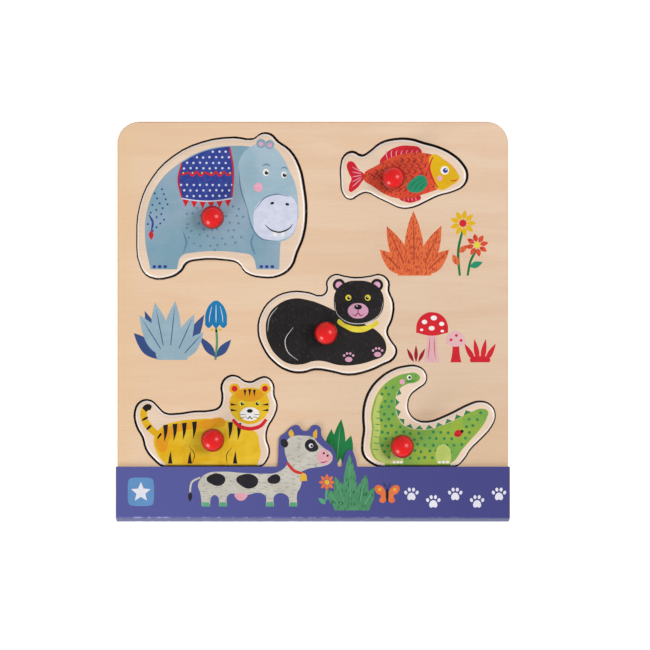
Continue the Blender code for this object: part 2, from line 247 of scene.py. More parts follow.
board = {
    "light": ink("e9ccb1"),
    "dark": ink("e5c1a3"),
    "warm": ink("e9c398"),
    "endGrain": ink("b0845c"),
    "longGrain": ink("deb88e"),
    "burnt": ink("241612"),
    "scorched": ink("543424"),
    "ply": 1.15 * mm,
    "warmth": 0.12,
    "sideWarmth": [(0.9, 0.0, 0.35), (0.06, 0.0, 0.4)],
    "lowWarmth": [(0.2, 0.6, 0.2), (0.7, 1.0, 0.45)],
    "duskEdge": (0.25, 0.85),  # the right side turns darker, most of all low down
    "dusk": 0.015,
    "lowDusk": 0.15,
    "cutOutReach": 119.5 * mm,
    "blend": 0.2 * mm,
    "wallFrom": 0.86,
    "wallTo": 0.56,
    "sandedBy": 0.34,  # the burn is sanded off the cut-outs' upper edges
    "roughness": 0.52,
}


# Plies with open pores on a cut side, and the cutter's marks down a burnt wall, per metre
cutSides = {
    "plyEdge": (0.44, 0.56),
    "pores": (900.0, 900.0, 1500.0),
    "poreEdge": (0.45, 0.75),
    "poreDepth": 0.35,
    "marks": (700.0, 700.0, 30.0),
    "markEdge": (0.35, 0.75),
}


def plySide(finish, look, start):
    layer = finish.step(((finish.z - start) / look["ply"]).zigzag(1.0), *cutSides["plyEdge"])
    pores = finish.step(finish.noise(cutSides["pores"]), *cutSides["poreEdge"])
    side = finish.mix(layer, look["endGrain"], look["longGrain"])
    return finish.mix(pores * cutSides["poreDepth"], side, look["scorched"])


def burntWall(finish, look):
    marks = finish.step(finish.noise(cutSides["marks"]), *cutSides["markEdge"])
    return finish.mix(marks, look["burnt"], look["scorched"])


def boardFinish():
    finish = Finish("plywoodBoard")
    drift, fibres, shade = grainFields(finish)
    across, over = (finish.x - boardLow.x) / (2 * boardHalf), (finish.y - boardLow.y) / (2 * boardHalf)
    warmth = board["warmth"] + finish.ramps(across, board["sideWarmth"])
    warmth = warmth + finish.step(over, 0.5, 0.0) * finish.ramps(across, board["lowWarmth"])
    face = finish.mix(drift, board["dark"], board["light"])
    face = finish.mix(warmth, face, board["warm"])
    dusk = finish.step(across, *board["duskEdge"])
    shade = shade * (1 - dusk * (board["dusk"] + board["lowDusk"] * (1 - over)))
    face = finish.mix(1.0, face, shade, "MULTIPLY")
    reach = (finish.x - boardMiddle.x).size().larger((finish.y - boardMiddle.y).size())
    cutOut = finish.step(reach, board["cutOutReach"] + board["blend"], board["cutOutReach"] - board["blend"])
    side = finish.mix(cutOut, plySide(finish, board, boardLow.z), burntWall(finish, board))
    sanded = cutOut * board["sandedBy"]
    wall = finish.step(finish.up.size(), board["wallFrom"] - sanded, board["wallTo"] - sanded)
    return finish.close({
        "Base Color": finish.mix(wall, face, side),
        "Roughness": board["roughness"] + (fibres - 0.5) * 0.2 + wall * 0.2,
        "Normal": finish.bump(fibres, grain["bump"], 0.35),
    })


backing = {
    "light": ink("debd9a"),
    "dark": ink("cca882"),
    "endGrain": ink("aa7e58"),
    "longGrain": ink("d8b288"),
    "scorched": ink("704830"),
    "ply": 1.0 * mm,
    "wallEdge": (0.72, 0.40),
    "roughness": 0.62,
}


def backingFinish():
    finish = Finish("plywoodBacking")
    drift, fibres, shade = grainFields(finish)
    face = finish.mix(1.0, finish.mix(drift, backing["dark"], backing["light"]), shade, "MULTIPLY")
    wall = finish.step(finish.up.size(), *backing["wallEdge"])
    return finish.close({
        "Base Color": finish.mix(wall, face, plySide(finish, backing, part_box("base_board")[0].z)),
        "Roughness": backing["roughness"] + (fibres - 0.5) * 0.2,
        "Normal": finish.bump(fibres, grain["bump"], 0.5),
    })


insert = {
    "light": ink("eed2b8"),
    "dark": ink("e6c9af"),
    # the sanded colour is near white: partly pale sanded wood, partly a painted highlight on the eased top
    # edges
    "sanded": ink("fcf0e8"),
    "burnt": ink("281914"),
    "scorched": ink("583826"),
    "burntBelow": 1.1 * mm,
    "edgeTilt": (0.998, 0.90),
    "sandedReach": 4.0 * mm,
    "lowRound": 1.4 * mm,
    "blend": 0.1 * mm,
    "roughness": 0.34,
    "coatRoughness": 0.2,
}

# The ink that runs on over an insert's low edge, and its ends in millimetres from the peg
runsOver = {"tiger": ("tigerYellow", -30.5, 28.5), "dinosaur": ("dinoGreen", -11.0, 31.0)}


def pegOf(animal):
    low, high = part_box(animal + "_knob")
    return (low.x + high.x) / 2, (low.y + high.y) / 2


def insertFinish(animal):
    finish = Finish("printed" + animal.title() + "Insert")
    drift, fibres, shade = grainFields(finish)
    low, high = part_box(animal + "_insert")
    face = finish.mix(drift, insert["dark"], insert["light"])
    # Eased edges are mixed towards near white by how far they tilt: sanded wood plus a painted highlight
    face = finish.mix(finish.step(finish.up, *insert["edgeTilt"]), face, insert["sanded"])
    blend = insert["blend"]
    if animal in runsOver:
        look, left, right = runsOver[animal]
        middle, half = pegOf(animal)[0] + (left + right) / 2 * mm, (right - left) / 2 * mm
        within = finish.step((finish.x - middle).size(), half + blend, half - blend)
        edge = low.y + insert["lowRound"]
        over = within * finish.step(finish.y, edge + blend, edge - blend)
        face = finish.mix(over, face, inkColour(finish, look))
    face = finish.mix(1.0, face, shade, "MULTIPLY")
    wallTop = high.z - insert["burntBelow"]
    wall = finish.step(finish.z, wallTop + 1.5 * blend, wallTop - 1.5 * blend)
    wall = wall * finish.step(finish.up, *(-part for part in insert["edgeTilt"]))
    return finish.close({
        "Base Color": finish.mix(wall, face, burntWall(finish, insert)),
        "Roughness": insert["roughness"] + (fibres - 0.5) * 0.15 + wall * 0.4,
        "Coat Weight": 1 - wall,
        "Coat Roughness": insert["coatRoughness"],
        "Normal": finish.bump(fibres, grain["bump"], 0.25, finish.rounded(insert["sandedReach"])),
    })


birch = {
    "light": ink("e8caa4"),
    "dark": ink("cea87c"),
    "fibres": (1500.0, 1500.0, 60.0),
    "bump": 0.04 * mm,
    "roughness": 0.55,
}


def birchFinish():
    finish = Finish("turnedBirch")
    fibres = finish.noise(birch["fibres"], detail=4.0)
    return finish.close({
        "Base Color": finish.mix(finish.step(fibres, 0.3, 0.7), birch["dark"], birch["light"]),
        "Roughness": birch["roughness"] + fibres * 0.1,
        "Normal": finish.bump(fibres, birch["bump"], 0.5),
    })


lacquer = {
    "red": ink("e40406"),
    "deep": ink("d00208"),
    "rimShade": ink("760005"),  # painted shade: the ball darkens from its crown down its sides
    "rimShadeEdge": (0.80, 0.15),
    "clouds": (90.0, 90.0, 90.0),
    "peel": (700.0, 700.0, 700.0),
    "peelDepth": 0.02 * mm,
    "roughness": 0.45,
    "gloss": 0.1,
    "coat": 0.65,
    "coatRoughness": 0.22,
}


def lacquerFinish():
    finish = Finish("redLacquer")
    clouds = finish.noise(lacquer["clouds"])
    peel = finish.noise(lacquer["peel"], detail=1.0)
    colour = finish.mix(finish.step(clouds, 0.3, 0.7) * 0.4, lacquer["red"], lacquer["deep"])
    # Painted shade: as the surface turns away from above, the ball is mixed towards a dark red
    colour = finish.mix(finish.step(finish.up, *lacquer["rimShadeEdge"]), colour, lacquer["rimShade"])
    return finish.close({
        "Base Color": colour,
        "Roughness": lacquer["roughness"] + (clouds - 0.5) * 0.06,
        "Specular IOR Level": lacquer["gloss"],
        "Coat Weight": lacquer["coat"],
        "Coat Roughness": lacquer["coatRoughness"],
        "Normal": finish.bump(peel, lacquer["peelDepth"], 0.25),
    })


sleeve = {
    "left": ink("545799"),
    "right": ink("3f3f80"),
    "worn": ink("b0b6da"),
    # painted shade for the folded strip along the front
    "gusset": ink("2c2f68"),
    "board": ink("d6d2ca"),
    "fold": 128.3 * mm,
    "edge": 95.7 * mm,
    "gussetUp": (0.75, 0.45),
    "gussetNorth": (-0.3, -0.6),
    "gussetDepth": 0.9,
    "foldReach": (0.75 * mm, 0.25 * mm),
    "foldDepth": 1.2 * mm,
    "lowReach": (1.1 * mm, 0.4 * mm),
    "lowHeight": (3.2 * mm, 1.6 * mm),
    "dashes": (190.0, 25.0, 25.0),
    "dashEdge": (0.48, 0.60),
    "dashWear": 0.6,
    "evenWear": 0.08,
    "wearEnd": 1.4,  # there is less wear to the right
    # Bare board shows inside the fold, on top of the back panel and on the cut edges
    "bareInside": [(-0.5, -0.8), (3.0 * mm, 5.0 * mm)],
    "bareOnTop": [(0.5, 0.8), (3.0 * mm, 2.0 * mm)],
    "bareNorth": (0.5, 0.8),
    "bareSides": (0.6, 0.9),
    "fibres": (420.0, 420.0, 420.0),
    "clouds": (16.0, 16.0, 16.0),
    "unevenness": 0.06,
    "bump": 0.02 * mm,
    "roughness": 0.42,
    "gloss": 0.34,
}


def cardFields(finish):
    fibre = finish.noise(sleeve["fibres"], detail=4.0, rough=0.65)
    cloud = finish.noise(sleeve["clouds"])
    return fibre, 1 + (fibre - 0.5) * sleeve["unevenness"] + (cloud - 0.5) * sleeve["unevenness"]


def wornFolds(finish, low, high):
    fold = (finish.y - boardMiddle.y + sleeve["fold"]).size()
    near = finish.step(fold, *sleeve["foldReach"])
    near = near * finish.step(finish.z, high.z - sleeve["foldDepth"], high.z)
    lowNear = finish.step((finish.y - low.y).size(), *sleeve["lowReach"])
    lowNear = lowNear * finish.step(finish.z, *sleeve["lowHeight"])
    dashes = finish.step(finish.noise(sleeve["dashes"], detail=5.0, rough=0.75), *sleeve["dashEdge"])
    wear = dashes * sleeve["dashWear"] + sleeve["evenWear"]
    wear = wear * finish.step(finish.x, high.x * sleeve["wearEnd"], low.x)
    return near.larger(lowNear) * wear


def bareCard(finish):
    bare = finish.step(finish.north, *sleeve["bareNorth"])
    bare = bare.larger(finish.step(finish.east.size(), *sleeve["bareSides"]))
    for facing, height in (sleeve["bareInside"], sleeve["bareOnTop"]):
        bare = bare.larger(finish.step(finish.up, *facing) * finish.step(finish.z, *height))
    return bare


def cardFinish():
    finish = Finish("violetCard")
    fibre, shade = cardFields(finish)
    low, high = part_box("card_sleeve")
    colour = finish.mix(finish.step(finish.x, low.x, high.x), sleeve["left"], sleeve["right"])
    colour = finish.mix(1.0, colour, shade, "MULTIPLY")
    # Painted shade: faces that turn towards the front and away from above are mixed towards a darker violet
    gusset = finish.step(finish.up, *sleeve["gussetUp"]) * finish.step(finish.north, *sleeve["gussetNorth"])
    colour = finish.mix(gusset * sleeve["gussetDepth"], colour, sleeve["gusset"])
    colour = finish.mix(wornFolds(finish, low, high), colour, sleeve["worn"])
    colour = finish.mix(bareCard(finish), colour, sleeve["board"])
    return finish.close({
        "Base Color": colour,
        "Roughness": sleeve["roughness"] + (fibre - 0.5) * 0.15,
        "Specular IOR Level": sleeve["gloss"],
        "Normal": finish.bump(fibre, sleeve["bump"], 0.3),
    })


# Each ink's screen colour, a second one that it is mottled with, and the mottle's repeats per metre
inks = {
    "hippoBlue": ("92a9ba", "7ca0b0", 22),
    "hippoPale": ("a8becb", "98b4c2", 40),
    "hippoDeep": ("6c88a4", "62809c", 60),
    "navy": ("2b388a", "364898", 300),
    "mist": ("d6d9e9", "ccd0e2", 200),
    "crimson": ("d41f2c", "c81a2a", 70),
    "deepCrimson": ("a01626", "941422", 70),
    "blush": ("eaaabc", "e49eb4", 200),
    "black": ("120f11", "1c181a", 90),
    "white": ("f4f1ee", "ece8e4", 90),
    "scarlet": ("e3542f", "d8462c", 60),
    "yellow": ("e2b406", "dcac0a", 60),
    "teal": ("2c9872", "228c68", 60),
    "bearBlack": ("181415", "211c1d", 60),
    "chalk": ("dad2d0", "cec6c4", 200),
    "pink": ("e0a7c2", "d69cb8", 60),
    "lemon": ("e8d646", "dec832", 200),
    "tigerYellow": ("deaa08", "e8c02c", 70),
    "tigerOrange": ("e29218", "dea010", 110),
    "dinoGreen": ("98af3a", "74a548", 45),
    "dinoPale": ("bec86e", "b0c060", 80),
    "fern": ("307a4c", "3a8654", 90),
    "orange": ("e46f3e", "de6638", 60),
    # the painted shade in the gaps round the inserts: near black, mottled with brown
    "scorch": ("180e0b", "604636", 16),
    "rust": ("b24228", "a63a24", 90),
    "skyBlue": ("9bb4c0", "92acba", 60),
    "duskBlue": ("3a5286", "324a7e", 60),
    "brightBlue": ("167cb0", "1270a6", 110),
    "palePink": ("e0b3b6", "daaaae", 60),
    "stem": ("609868", "568e60", 90),
    "forest": ("187a40", "126e38", 90),
    "badgeBlue": ("6494c4", "5c8abc", 40),
    "cowGrey": ("cdc8bc", "c0baae", 50),
    "cowBlack": ("1c1a20", "26242a", 80),
    "cardPink": ("e4a8b2", "dc9eaa", 90),
    "cardRed": ("d43c30", "ca322c", 90),
    "cardYellow": ("e4b23c", "dca632", 90),
    "cardOrange": ("e47642", "dc6a3a", 90),
    "cardWhite": ("e8e6ee", "dedce6", 60),
    "bush": ("529468", "4a8a60", 50),
    "hoof": ("5ca87c", "529c72", 80),
}

# Strokes drawn through an ink: their colour, repeats per metre in X and Y, turn and threshold
strokes = {
    "scarlet": ("922824", (1100, 420), 24, 0.60),
    "bearBlack": ("3a3434", (1500, 260), -30, 0.66),
    "orange": ("b44026", (1150, 330), 8, 0.535),
    # pale ticks across the painted shade in the gaps
    "scorch": ("c8ac90", (260, 260), 0, 0.69),
    "cowGrey": ("a09a8f", (280, 1300), 0, 0.61),
    "bush": ("2c6448", (1000, 260), 6, 0.58),
}

inkLook = {
    "mottleEdge": (0.36, 0.64),
    "strokeEdge": 0.05,
    "strokeDepth": 0.85,
    "roughness": 0.48,
    "gloss": 0.2,
}


def inkColour(finish, name):
    tone, other, mottle = inks[name]
    cloud = finish.noise((mottle,) * 3, detail=4.0, rough=0.6, twist=0.4)
    return finish.mix(finish.step(cloud, *inkLook["mottleEdge"]), ink(tone), ink(other))


def inkFinish(name, slot):
    finish = Finish(name + "Ink")
    fibres, shade = cardFields(finish) if slot == "violet_card" else grainFields(finish)[1:]
    colour = inkColour(finish, name)
    if name in strokes:
        tone, repeats, turn, threshold = strokes[name]
        marks = finish.noise((*repeats, 1.0), detail=0.5, turn=turn)
        drawn = finish.step(marks, threshold, threshold + inkLook["strokeEdge"])
        colour = finish.mix(drawn * inkLook["strokeDepth"], colour, ink(tone))
    colour = finish.mix(1.0, colour, shade, "MULTIPLY")
    return finish.close({
        "Base Color": colour,
        "Roughness": inkLook["roughness"] + (fibres - 0.5) * 0.2,
        "Specular IOR Level": inkLook["gloss"],
        "Normal": finish.bump(fibres, grain["bump"], 0.2),
    })


inkFinishes = {}


def inked(name, slot):
    if name not in inkFinishes:
        inkFinishes[name] = inkFinish(name, slot)
    return inkFinishes[name]


# Faces that meet below this angle share their shading. Broad faces count for more.
shading = {"angle": math.radians(50), "samePlace": 0.001 * mm}


def soften(node):
    mesh = node.data
    corners = [tuple(round(part / shading["samePlace"]) for part in vertex.co) for vertex in mesh.vertices]
    meeting = {}
    for face in mesh.polygons:
        face.use_smooth = True
        for vertex in face.vertices:
            meeting.setdefault(corners[vertex], []).append(face)
    limit = math.cos(shading["angle"])
    normals = []
    for face in mesh.polygons:
        for vertex in face.vertices:
            total = Vector()
            for other in meeting[corners[vertex]]:
                if other.normal.dot(face.normal) >= limit:
                    total += other.normal * other.area
            normals.append(total.normalized() if total.length > 0 else face.normal)
    mesh.normals_split_custom_set(normals)


animals = ("hippo", "fish", "bear", "tiger", "dinosaur")


def dressFrame():
    wood = birchFinish()
    looks = {"frame_board": boardFinish(), "base_board": backingFinish(), "card_sleeve": cardFinish()}
    for animal in animals:
        looks[animal + "_insert"] = insertFinish(animal)
        looks[animal + "_dowel"] = wood
    for name, look in looks.items():
        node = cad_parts[name]
        node.data.materials.clear()
        node.data.materials.append(look)
        soften(node)


# A finer ball in place of each knob, on the same foot
knob = {"foot": 8.5 * mm, "diameter": 15.0 * mm, "hole": 5.6 * mm, "holeDepth": 8.3 * mm,
        "arcSteps": 40, "turns": 72}


def knobSection():
    radius = knob["diameter"] / 2
    foot = knob["foot"] / 2
    centre = math.sqrt(radius ** 2 - foot ** 2)
    lowest = math.pi / 2 + math.acos(foot / radius)
    section = []
    for step in range(knob["arcSteps"] + 1):
        angle = lowest * step / knob["arcSteps"]
        section.append((radius * math.sin(angle), centre + radius * math.cos(angle)))
    hole = knob["hole"] / 2
    return section + [(hole, 0.0), (hole, knob["holeDepth"]), (0.0, knob["holeDepth"])]


def addKnobs():
    look = lacquerFinish()
    section = knobSection()
    for animal in animals:
        mesh = bpy.data.meshes.new(animal + "Ball")
        places = [(across, 0.0, up) for across, up in section]
        mesh.from_pydata(places, [(at, at + 1) for at in range(len(places) - 1)], [])
        ball = bpy.data.objects.new(animal + "Ball", mesh)
        scene.collection.objects.link(ball)
        turning = ball.modifiers.new("turning", "SCREW")
        turning.steps = knob["turns"]
        turning.render_steps = knob["turns"]
        turning.use_merge_vertices = True
        turning.merge_threshold = 0.005 * mm
        turning.use_smooth_shade = True
        ball.location = (*pegOf(animal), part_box(animal + "_knob")[0].z)
        mesh.materials.append(look)
        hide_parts(animal + "_knob")
        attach(ball, animal + "_piece")


ground = {
    "light": ink("f9f9fa"),
    "dark": ink("f6f6f7"),
    "mottle": (30.0, 30.0, 30.0),
    "glow": 0.40,
    "roughness": 0.9,
    "reach": 2.5,
    "below": 0.05 * mm,
}


def addFloor():
    finish = Finish("paleFloor")
    mottle = finish.noise(ground["mottle"], detail=3.0)
    look = finish.close({
        "Base Color": finish.mix(mottle, ground["light"], ground["dark"]),
        "Roughness": ground["roughness"],
        "Emission Color": (1.0, 1.0, 1.0, 1.0),
        "Emission Strength": ground["glow"],
    })
    reach = ground["reach"]
    mesh = bpy.data.meshes.new("floor")
    corners = [(-reach, -reach, 0.0), (reach, -reach, 0.0), (reach, reach, 0.0), (-reach, reach, 0.0)]
    mesh.from_pydata(corners, [], [(0, 1, 2, 3)])
    mesh.materials.append(look)
    floor = bpy.data.objects.new("floor", mesh)
    scene.collection.objects.link(floor)
    floor.location.z = cadLow.z - ground["below"]


# Prints are thin films over the wood or card. They are drawn in millimetres from a point on their
# face, each level lies over the one before, and all the films of a face are one object.
film = {"sunk": 0.01 * mm, "step": 0.018 * mm, "weld": 0.0005 * mm, "segments": 6, "circle": 8}


class Sheet:
    def __init__(self, name, origin, top):
        self.name = name
        self.origin = origin
        self.top = top
        self.looks = []
        self.films = bmesh.new()

    def lay(self, look, outlines, level=0):
        curve = bpy.data.curves.new(look, "CURVE")
        curve.dimensions = "2D"
        curve.fill_mode = "BOTH"
        height = film["sunk"] + film["step"] * (level + 1)
        curve.extrude = height / 2
        for outline in outlines:
            self.addOutline(curve, outline)
        holder = bpy.data.objects.new(look, curve)
        mesh = bpy.data.meshes.new_from_object(holder)
        mesh.transform(Matrix.Translation((0.0, 0.0, self.top - film["sunk"] + height / 2)))
        if look not in self.looks:
            self.looks.append(look)
        corners, faces = len(self.films.verts), len(self.films.faces)
        self.films.from_mesh(mesh)
        for face in list(self.films.faces)[faces:]:
            face.material_index = self.looks.index(look)
            face.smooth = False
        bmesh.ops.remove_doubles(self.films, verts=list(self.films.verts)[corners:], dist=film["weld"])
        bpy.data.objects.remove(holder)
        bpy.data.curves.remove(curve)
        bpy.data.meshes.remove(mesh)

    def hang(self, body, slot):
        bmesh.ops.recalc_face_normals(self.films, faces=self.films.faces)
        mesh = bpy.data.meshes.new(self.name)
        self.films.to_mesh(mesh)
        self.films.free()
        for look in self.looks:
            mesh.materials.append(inked(look, slot))
        piece = bpy.data.objects.new(self.name, mesh)
        scene.collection.objects.link(piece)
        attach(piece, body)
        print(self.name, "hung,", len(mesh.polygons), "faces")

    def addOutline(self, curve, outline):
        spline = curve.splines.new("BEZIER")
        spline.bezier_points.add(len(outline) - 1)
        spline.resolution_u = film["segments"]
        spline.use_cyclic_u = True
        for knot, (x, y, *corner) in zip(spline.bezier_points, outline):
            knot.co = (self.origin[0] + x * mm, self.origin[1] + y * mm, 0.0)
            kind = "VECTOR" if corner else "AUTO"
            knot.handle_left_type = kind
            knot.handle_right_type = kind


def turned(shape, x, y, turn):  # about its own zero, which goes to x and y
    tilt = math.radians(turn)
    return [(x + along * math.cos(tilt) - over * math.sin(tilt),
             y + along * math.sin(tilt) + over * math.cos(tilt), *corner) for along, over, *corner in shape]


def oval(x, y, across, up=None, turn=0.0):
    up = across if up is None else up
    angles = [2 * math.pi * step / film["circle"] for step in range(film["circle"])]
    return turned([(across * math.cos(angle), up * math.sin(angle)) for angle in angles], x, y, turn)


def dots(places, radius):
    return [oval(x, y, radius) for x, y in places]


def mirrored(outline, x):  # about an upright line
    return [(2 * x - across, *rest) for across, *rest in outline]


def leaf(x, y, length, width, turn):  # from its foot, turned from +X
    shape = [(0.0, 0.0, "c"), (0.38, 0.5), (0.72, 0.36), (1.0, 0.0, "c"), (0.72, -0.36), (0.38, -0.5)]
    return turned([(along * length, over * width, *corner) for along, over, *corner in shape], x, y, turn)


def through(path, steps=6, closed=False):  # a smooth line through a few points
    count = len(path)
    places = []
    for index in range(count if closed else count - 1):
        if closed:
            around = [path[(index + shift) % count][:2] for shift in (-1, 0, 1, 2)]
        else:
            around = [path[min(max(index + shift, 0), count - 1)][:2] for shift in (-1, 0, 1, 2)]
        for step in range(steps):
            share = step / steps
            weights = (-share + 2 * share ** 2 - share ** 3, 2 - 5 * share ** 2 + 3 * share ** 3,
                       share + 4 * share ** 2 - 3 * share ** 3, share ** 3 - share ** 2)
            places.append(tuple(sum(w * p[axis] for w, p in zip(weights, around)) / 2 for axis in (0, 1)))
    return places if closed else places + [tuple(path[-1][:2])]


def stroke(path, width, start=0.3, end=0.3):  # a brush line whose ends are shares of its full width
    line = through(path)
    left, right = [], []
    for index, (x, y) in enumerate(line):
        before, after = line[max(index - 1, 0)], line[min(index + 1, len(line) - 1)]
        along = math.atan2(after[1] - before[1], after[0] - before[0])
        share = index / (len(line) - 1)
        thin, away = (start, share) if share < 0.5 else (end, 1 - share)
        reach = width / 2 * (thin + (1 - thin) * min(away * 3, 1))
        left.append((x - math.sin(along) * reach, y + math.cos(along) * reach))
        right.append((x + math.sin(along) * reach, y - math.cos(along) * reach))
    outline = left + right[::-1]
    tips = (0, len(left) - 1, len(left), len(outline) - 1)
    return [(*place, "c") if index in tips else place for index, place in enumerate(outline)]


def lines(width, *paths):
    return [stroke(path, width) for path in paths]


def holds(outline, place):
    x, y = place
    odd = False
    for (ax, ay, *_), (bx, by, *_) in zip(outline, outline[1:] + outline[:1]):
        if (ay > y) != (by > y) and x < ax + (y - ay) * (bx - ax) / (by - ay):
            odd = not odd
    return odd


def clearOf(outline, place):  # the distance to the nearest point of an outline
    return min(math.dist(place, corner) for corner in outline)


def scatter(outline, pitch, margin, seed, jitter=0.25):  # places in offset rows, each moved a little
    outline = through(outline, closed=True)
    chance = random.Random(seed)
    xs, ys = [p[0] for p in outline], [p[1] for p in outline]
    places = []
    y, row = min(ys), 0
    while y < max(ys):
        x = min(xs) + (pitch / 2 if row % 2 else 0)
        while x < max(xs):
            place = (x + chance.uniform(-jitter, jitter) * pitch, y + chance.uniform(-jitter, jitter) * pitch)
            if holds(outline, place) and clearOf(outline, place) > margin:
                places.append(place)
            x += pitch
        y += pitch * 0.86
        row += 1
    return places


# A near-black film on the backing along the foot of each recess wall: painted shade for the deep, narrow gaps
# round the inserts
scorch = {"inside": 1.3, "under": 0.15}


def recessOutlines():
    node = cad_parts["frame_board"]
    places = [node.matrix_world @ vertex.co for vertex in node.data.vertices]
    sides = {}
    for face in node.data.polygons:
        if face.normal.z > -0.9:
            continue
        ring = [tuple(round(part / mm, 3) for part in places[vertex][:2]) for vertex in face.vertices]
        for side in zip(ring, ring[1:] + ring[:1]):
            if side[::-1] in sides:
                del sides[side[::-1]]
            else:
                sides[side] = True
    following = dict(sides.keys())
    outlines = []
    while following:
        start, at = following.popitem()
        outlines.append([start])
        while at != start:
            outlines[-1].append(at)
            at = following.pop(at)
    outlines.sort(key=lambda outline: max(x for x, y in outline) - min(x for x, y in outline))
    return outlines[:-1]  # the widest one is the board's own edge


def beside(outline, reach):  # an outline moved to the left of its own course
    places = []
    for before, (x, y), after in zip(outline[-1:] + outline[:-1], outline, outline[1:] + outline[:1]):
        along = math.atan2(after[1] - before[1], after[0] - before[0])
        places.append((x - math.sin(along) * reach, y + math.cos(along) * reach, "c"))
    return places


# Painted shade: a near-black ring either side of each recess outline
def paintGapShade(lay):
    rings = []
    for outline in recessOutlines():
        rings += [beside(outline, -scorch["under"]), beside(outline, scorch["inside"])]
    lay("scorch", rings)


# The hippo, in millimetres from its peg
hippo = {
    "body": [(-43.5, -12), (-41.5, 7), (-34.5, 22.5), (-22, 34.5), (-6, 43), (12, 46), (27, 44.5), (38, 38),
             (44, 25), (45, 8), (44, -8), (43, -20), (42.5, -33, "c"), (28, -33, "c"), (25, -24.5),
             (20, -22.8), (-14, -22.5), (-20, -24.5), (-23, -33, "c"), (-40, -33, "c")],
    "head": [(22, 44), (30, 47.5), (39, 45), (45, 38), (49, 30), (52.5, 22), (54.5, 10), (54, -3), (50, -12),
             (41, -15.5), (31, -13.5), (25, -6), (22, 6), (18, 18), (16, 30), (18, 39)],
    "muzzle": [(26, -4), (28, 8), (36, 14), (46, 15), (52.5, 11), (54, 2), (51.5, -9), (45, -13.6),
               (35, -14), (28, -11)],
    "blanket": [(-20, 35.2, "c"), (-8, 41.6), (4, 44.7), (11, 45.6, "c"), (13.5, 30), (12.5, 13, "c"),
                (-4, 10.5), (-20, 12.5, "c"), (-22.5, 24)],
    "tail": [(-41, 2), (-38.5, -3), (-39.5, -9)],
    "toes": (-37.5, -34, -30.5, 31, 34.5, 38),
    "ears": [(30.8, 47.5), (36.3, 46.8)],
    "flank": [(-17, -19), (16, -19.5), (21, -9), (17, 7), (-2, 4.5), (-18, 6)],
    "seed": 11,
}


def printHippo(lay):
    lay("hippoBlue", [hippo["body"]])
    knees = [(-19, -23), (-17, -16), (-19, -9)], [(27, -23.5), (24.5, -16), (26.5, -10)]
    lay("hippoDeep", lines(1.2, *knees), 1)
    lay("hippoPale", [hippo["head"]], 1)
    lay("hippoBlue", [oval(x, y, 3.0, 2.9) for x, y in hippo["ears"]], 2)
    lay("pink", [oval(x, y - 0.3, 1.6, 1.5) for x, y in hippo["ears"]], 3)
    lay("mist", [hippo["muzzle"]], 2)
    lay("hippoDeep", lines(0.9, [(22, 6), (25, -6), (31, -13.3), (41, -15.2)]) + lines(
        0.8, [(16.5, 31), (18, 18), (22, 6)], [(27, 5), (33, 12.5), (41, 15), (49, 13.6)],
        [(31.5, 33.2), (34.3, 34.2), (36.8, 33)], [(43.5, 31.6), (46, 32.2), (48, 31)]), 4)
    lay("white", [oval(34, 29, 2.0, 2.3), oval(45.5, 27.5, 1.8, 2.1),
                  [(38.6, -8, "c"), (41, -8.8, "c"), (40.4, -11.8), (39, -11.6)],
                  [(43.6, -8.8, "c"), (46, -8.4, "c"), (45.2, -11.8), (44, -12)]], 5)
    lay("black", dots([(34.4, 28.8), (45.9, 27.3)], 1.25)
        + [oval(38, 9.3, 1.2, 0.8, 20), oval(47.6, 8.6, 1.2, 0.8, -15)]
        + [stroke([(33.5, -4.5), (37.5, -8), (43, -9.2), (48.6, -7), (51, -4)], 0.9)], 6)
    lay("white", dots([(34.9, 29.5), (46.3, 28.0)], 0.42), 7)
    lay("blush", dots([(29, 19.5)], 2.9), 4)
    printBlanket(lay)
    rump = []
    for turn in range(4):
        reach = 6.0 + turn * 3.4
        for step in range(4 + turn):
            angle = math.radians(110 + step * 115 / (3 + turn))
            rump.append((-27 + reach * math.cos(angle), 3 + reach * math.sin(angle)))
    flank = scatter(hippo["flank"], 5.4, 1.2, hippo["seed"])
    lay("navy", dots([p for p in rump if holds(hippo["body"], p)], 0.62), 3)
    lay("hippoDeep", dots(flank, 0.7), 3)
    lay("navy", [oval(x, -31.3, 1.25, 1.0) for x in hippo["toes"]], 1)
    lay("navy", [stroke(hippo["tail"], 1.3)], 2)
    lay("crimson", [leaf(-39.6, -8, 6.2, 3.0, -88)], 3)


def printBlanket(lay):
    lay("navy", [hippo["blanket"]], 2)
    sprinkle = [p for p in scatter(hippo["blanket"], 4.1, 1.6, hippo["seed"], 0.04) if abs(p[1] - 27.5) > 3.4]
    lay("mist", dots(sprinkle, 0.72), 3)
    wave = [(-20.5 + step * 2.5, 27.5 + 1.4 * math.sin((-20.5 + step * 2.5) * 1.05)) for step in range(14)]
    lay("crimson", [stroke([(x, y + 0.6) for x, y in wave], 1.3, 0.8, 0.8)], 3)
    lay("lemon", dots([(x, 27.5 - 1.4 * math.sin(x * 1.05)) for x in (-19, -13, -7, -1, 5, 11)], 0.55), 4)
    hem = [(-20.2 + step * 5.45, 12.4 - 1.8 * math.sin(math.pi * step / 6)) for step in range(7)]
    flags = []
    for (ax, ay), (bx, by) in zip(hem, hem[1:]):
        flags.append([(ax + 0.3, ay + 0.2, "c"), ((ax + bx) / 2, (ay + by) / 2 - 5.0, "c"),
                      (bx - 0.3, by + 0.2, "c")])
    lay("crimson", flags, 3)
    lay("mist", [stroke(hem, 0.8, 0.9, 0.9)], 4)
    lay("crimson", [stroke([(10.8, 45.2), (13.1, 30), (12.2, 13.4)], 1.0, 0.9, 0.9),
                    stroke([(-19.9, 34.8), (-22.2, 24), (-19.8, 12.9)], 1.0, 0.9, 0.9)], 4)


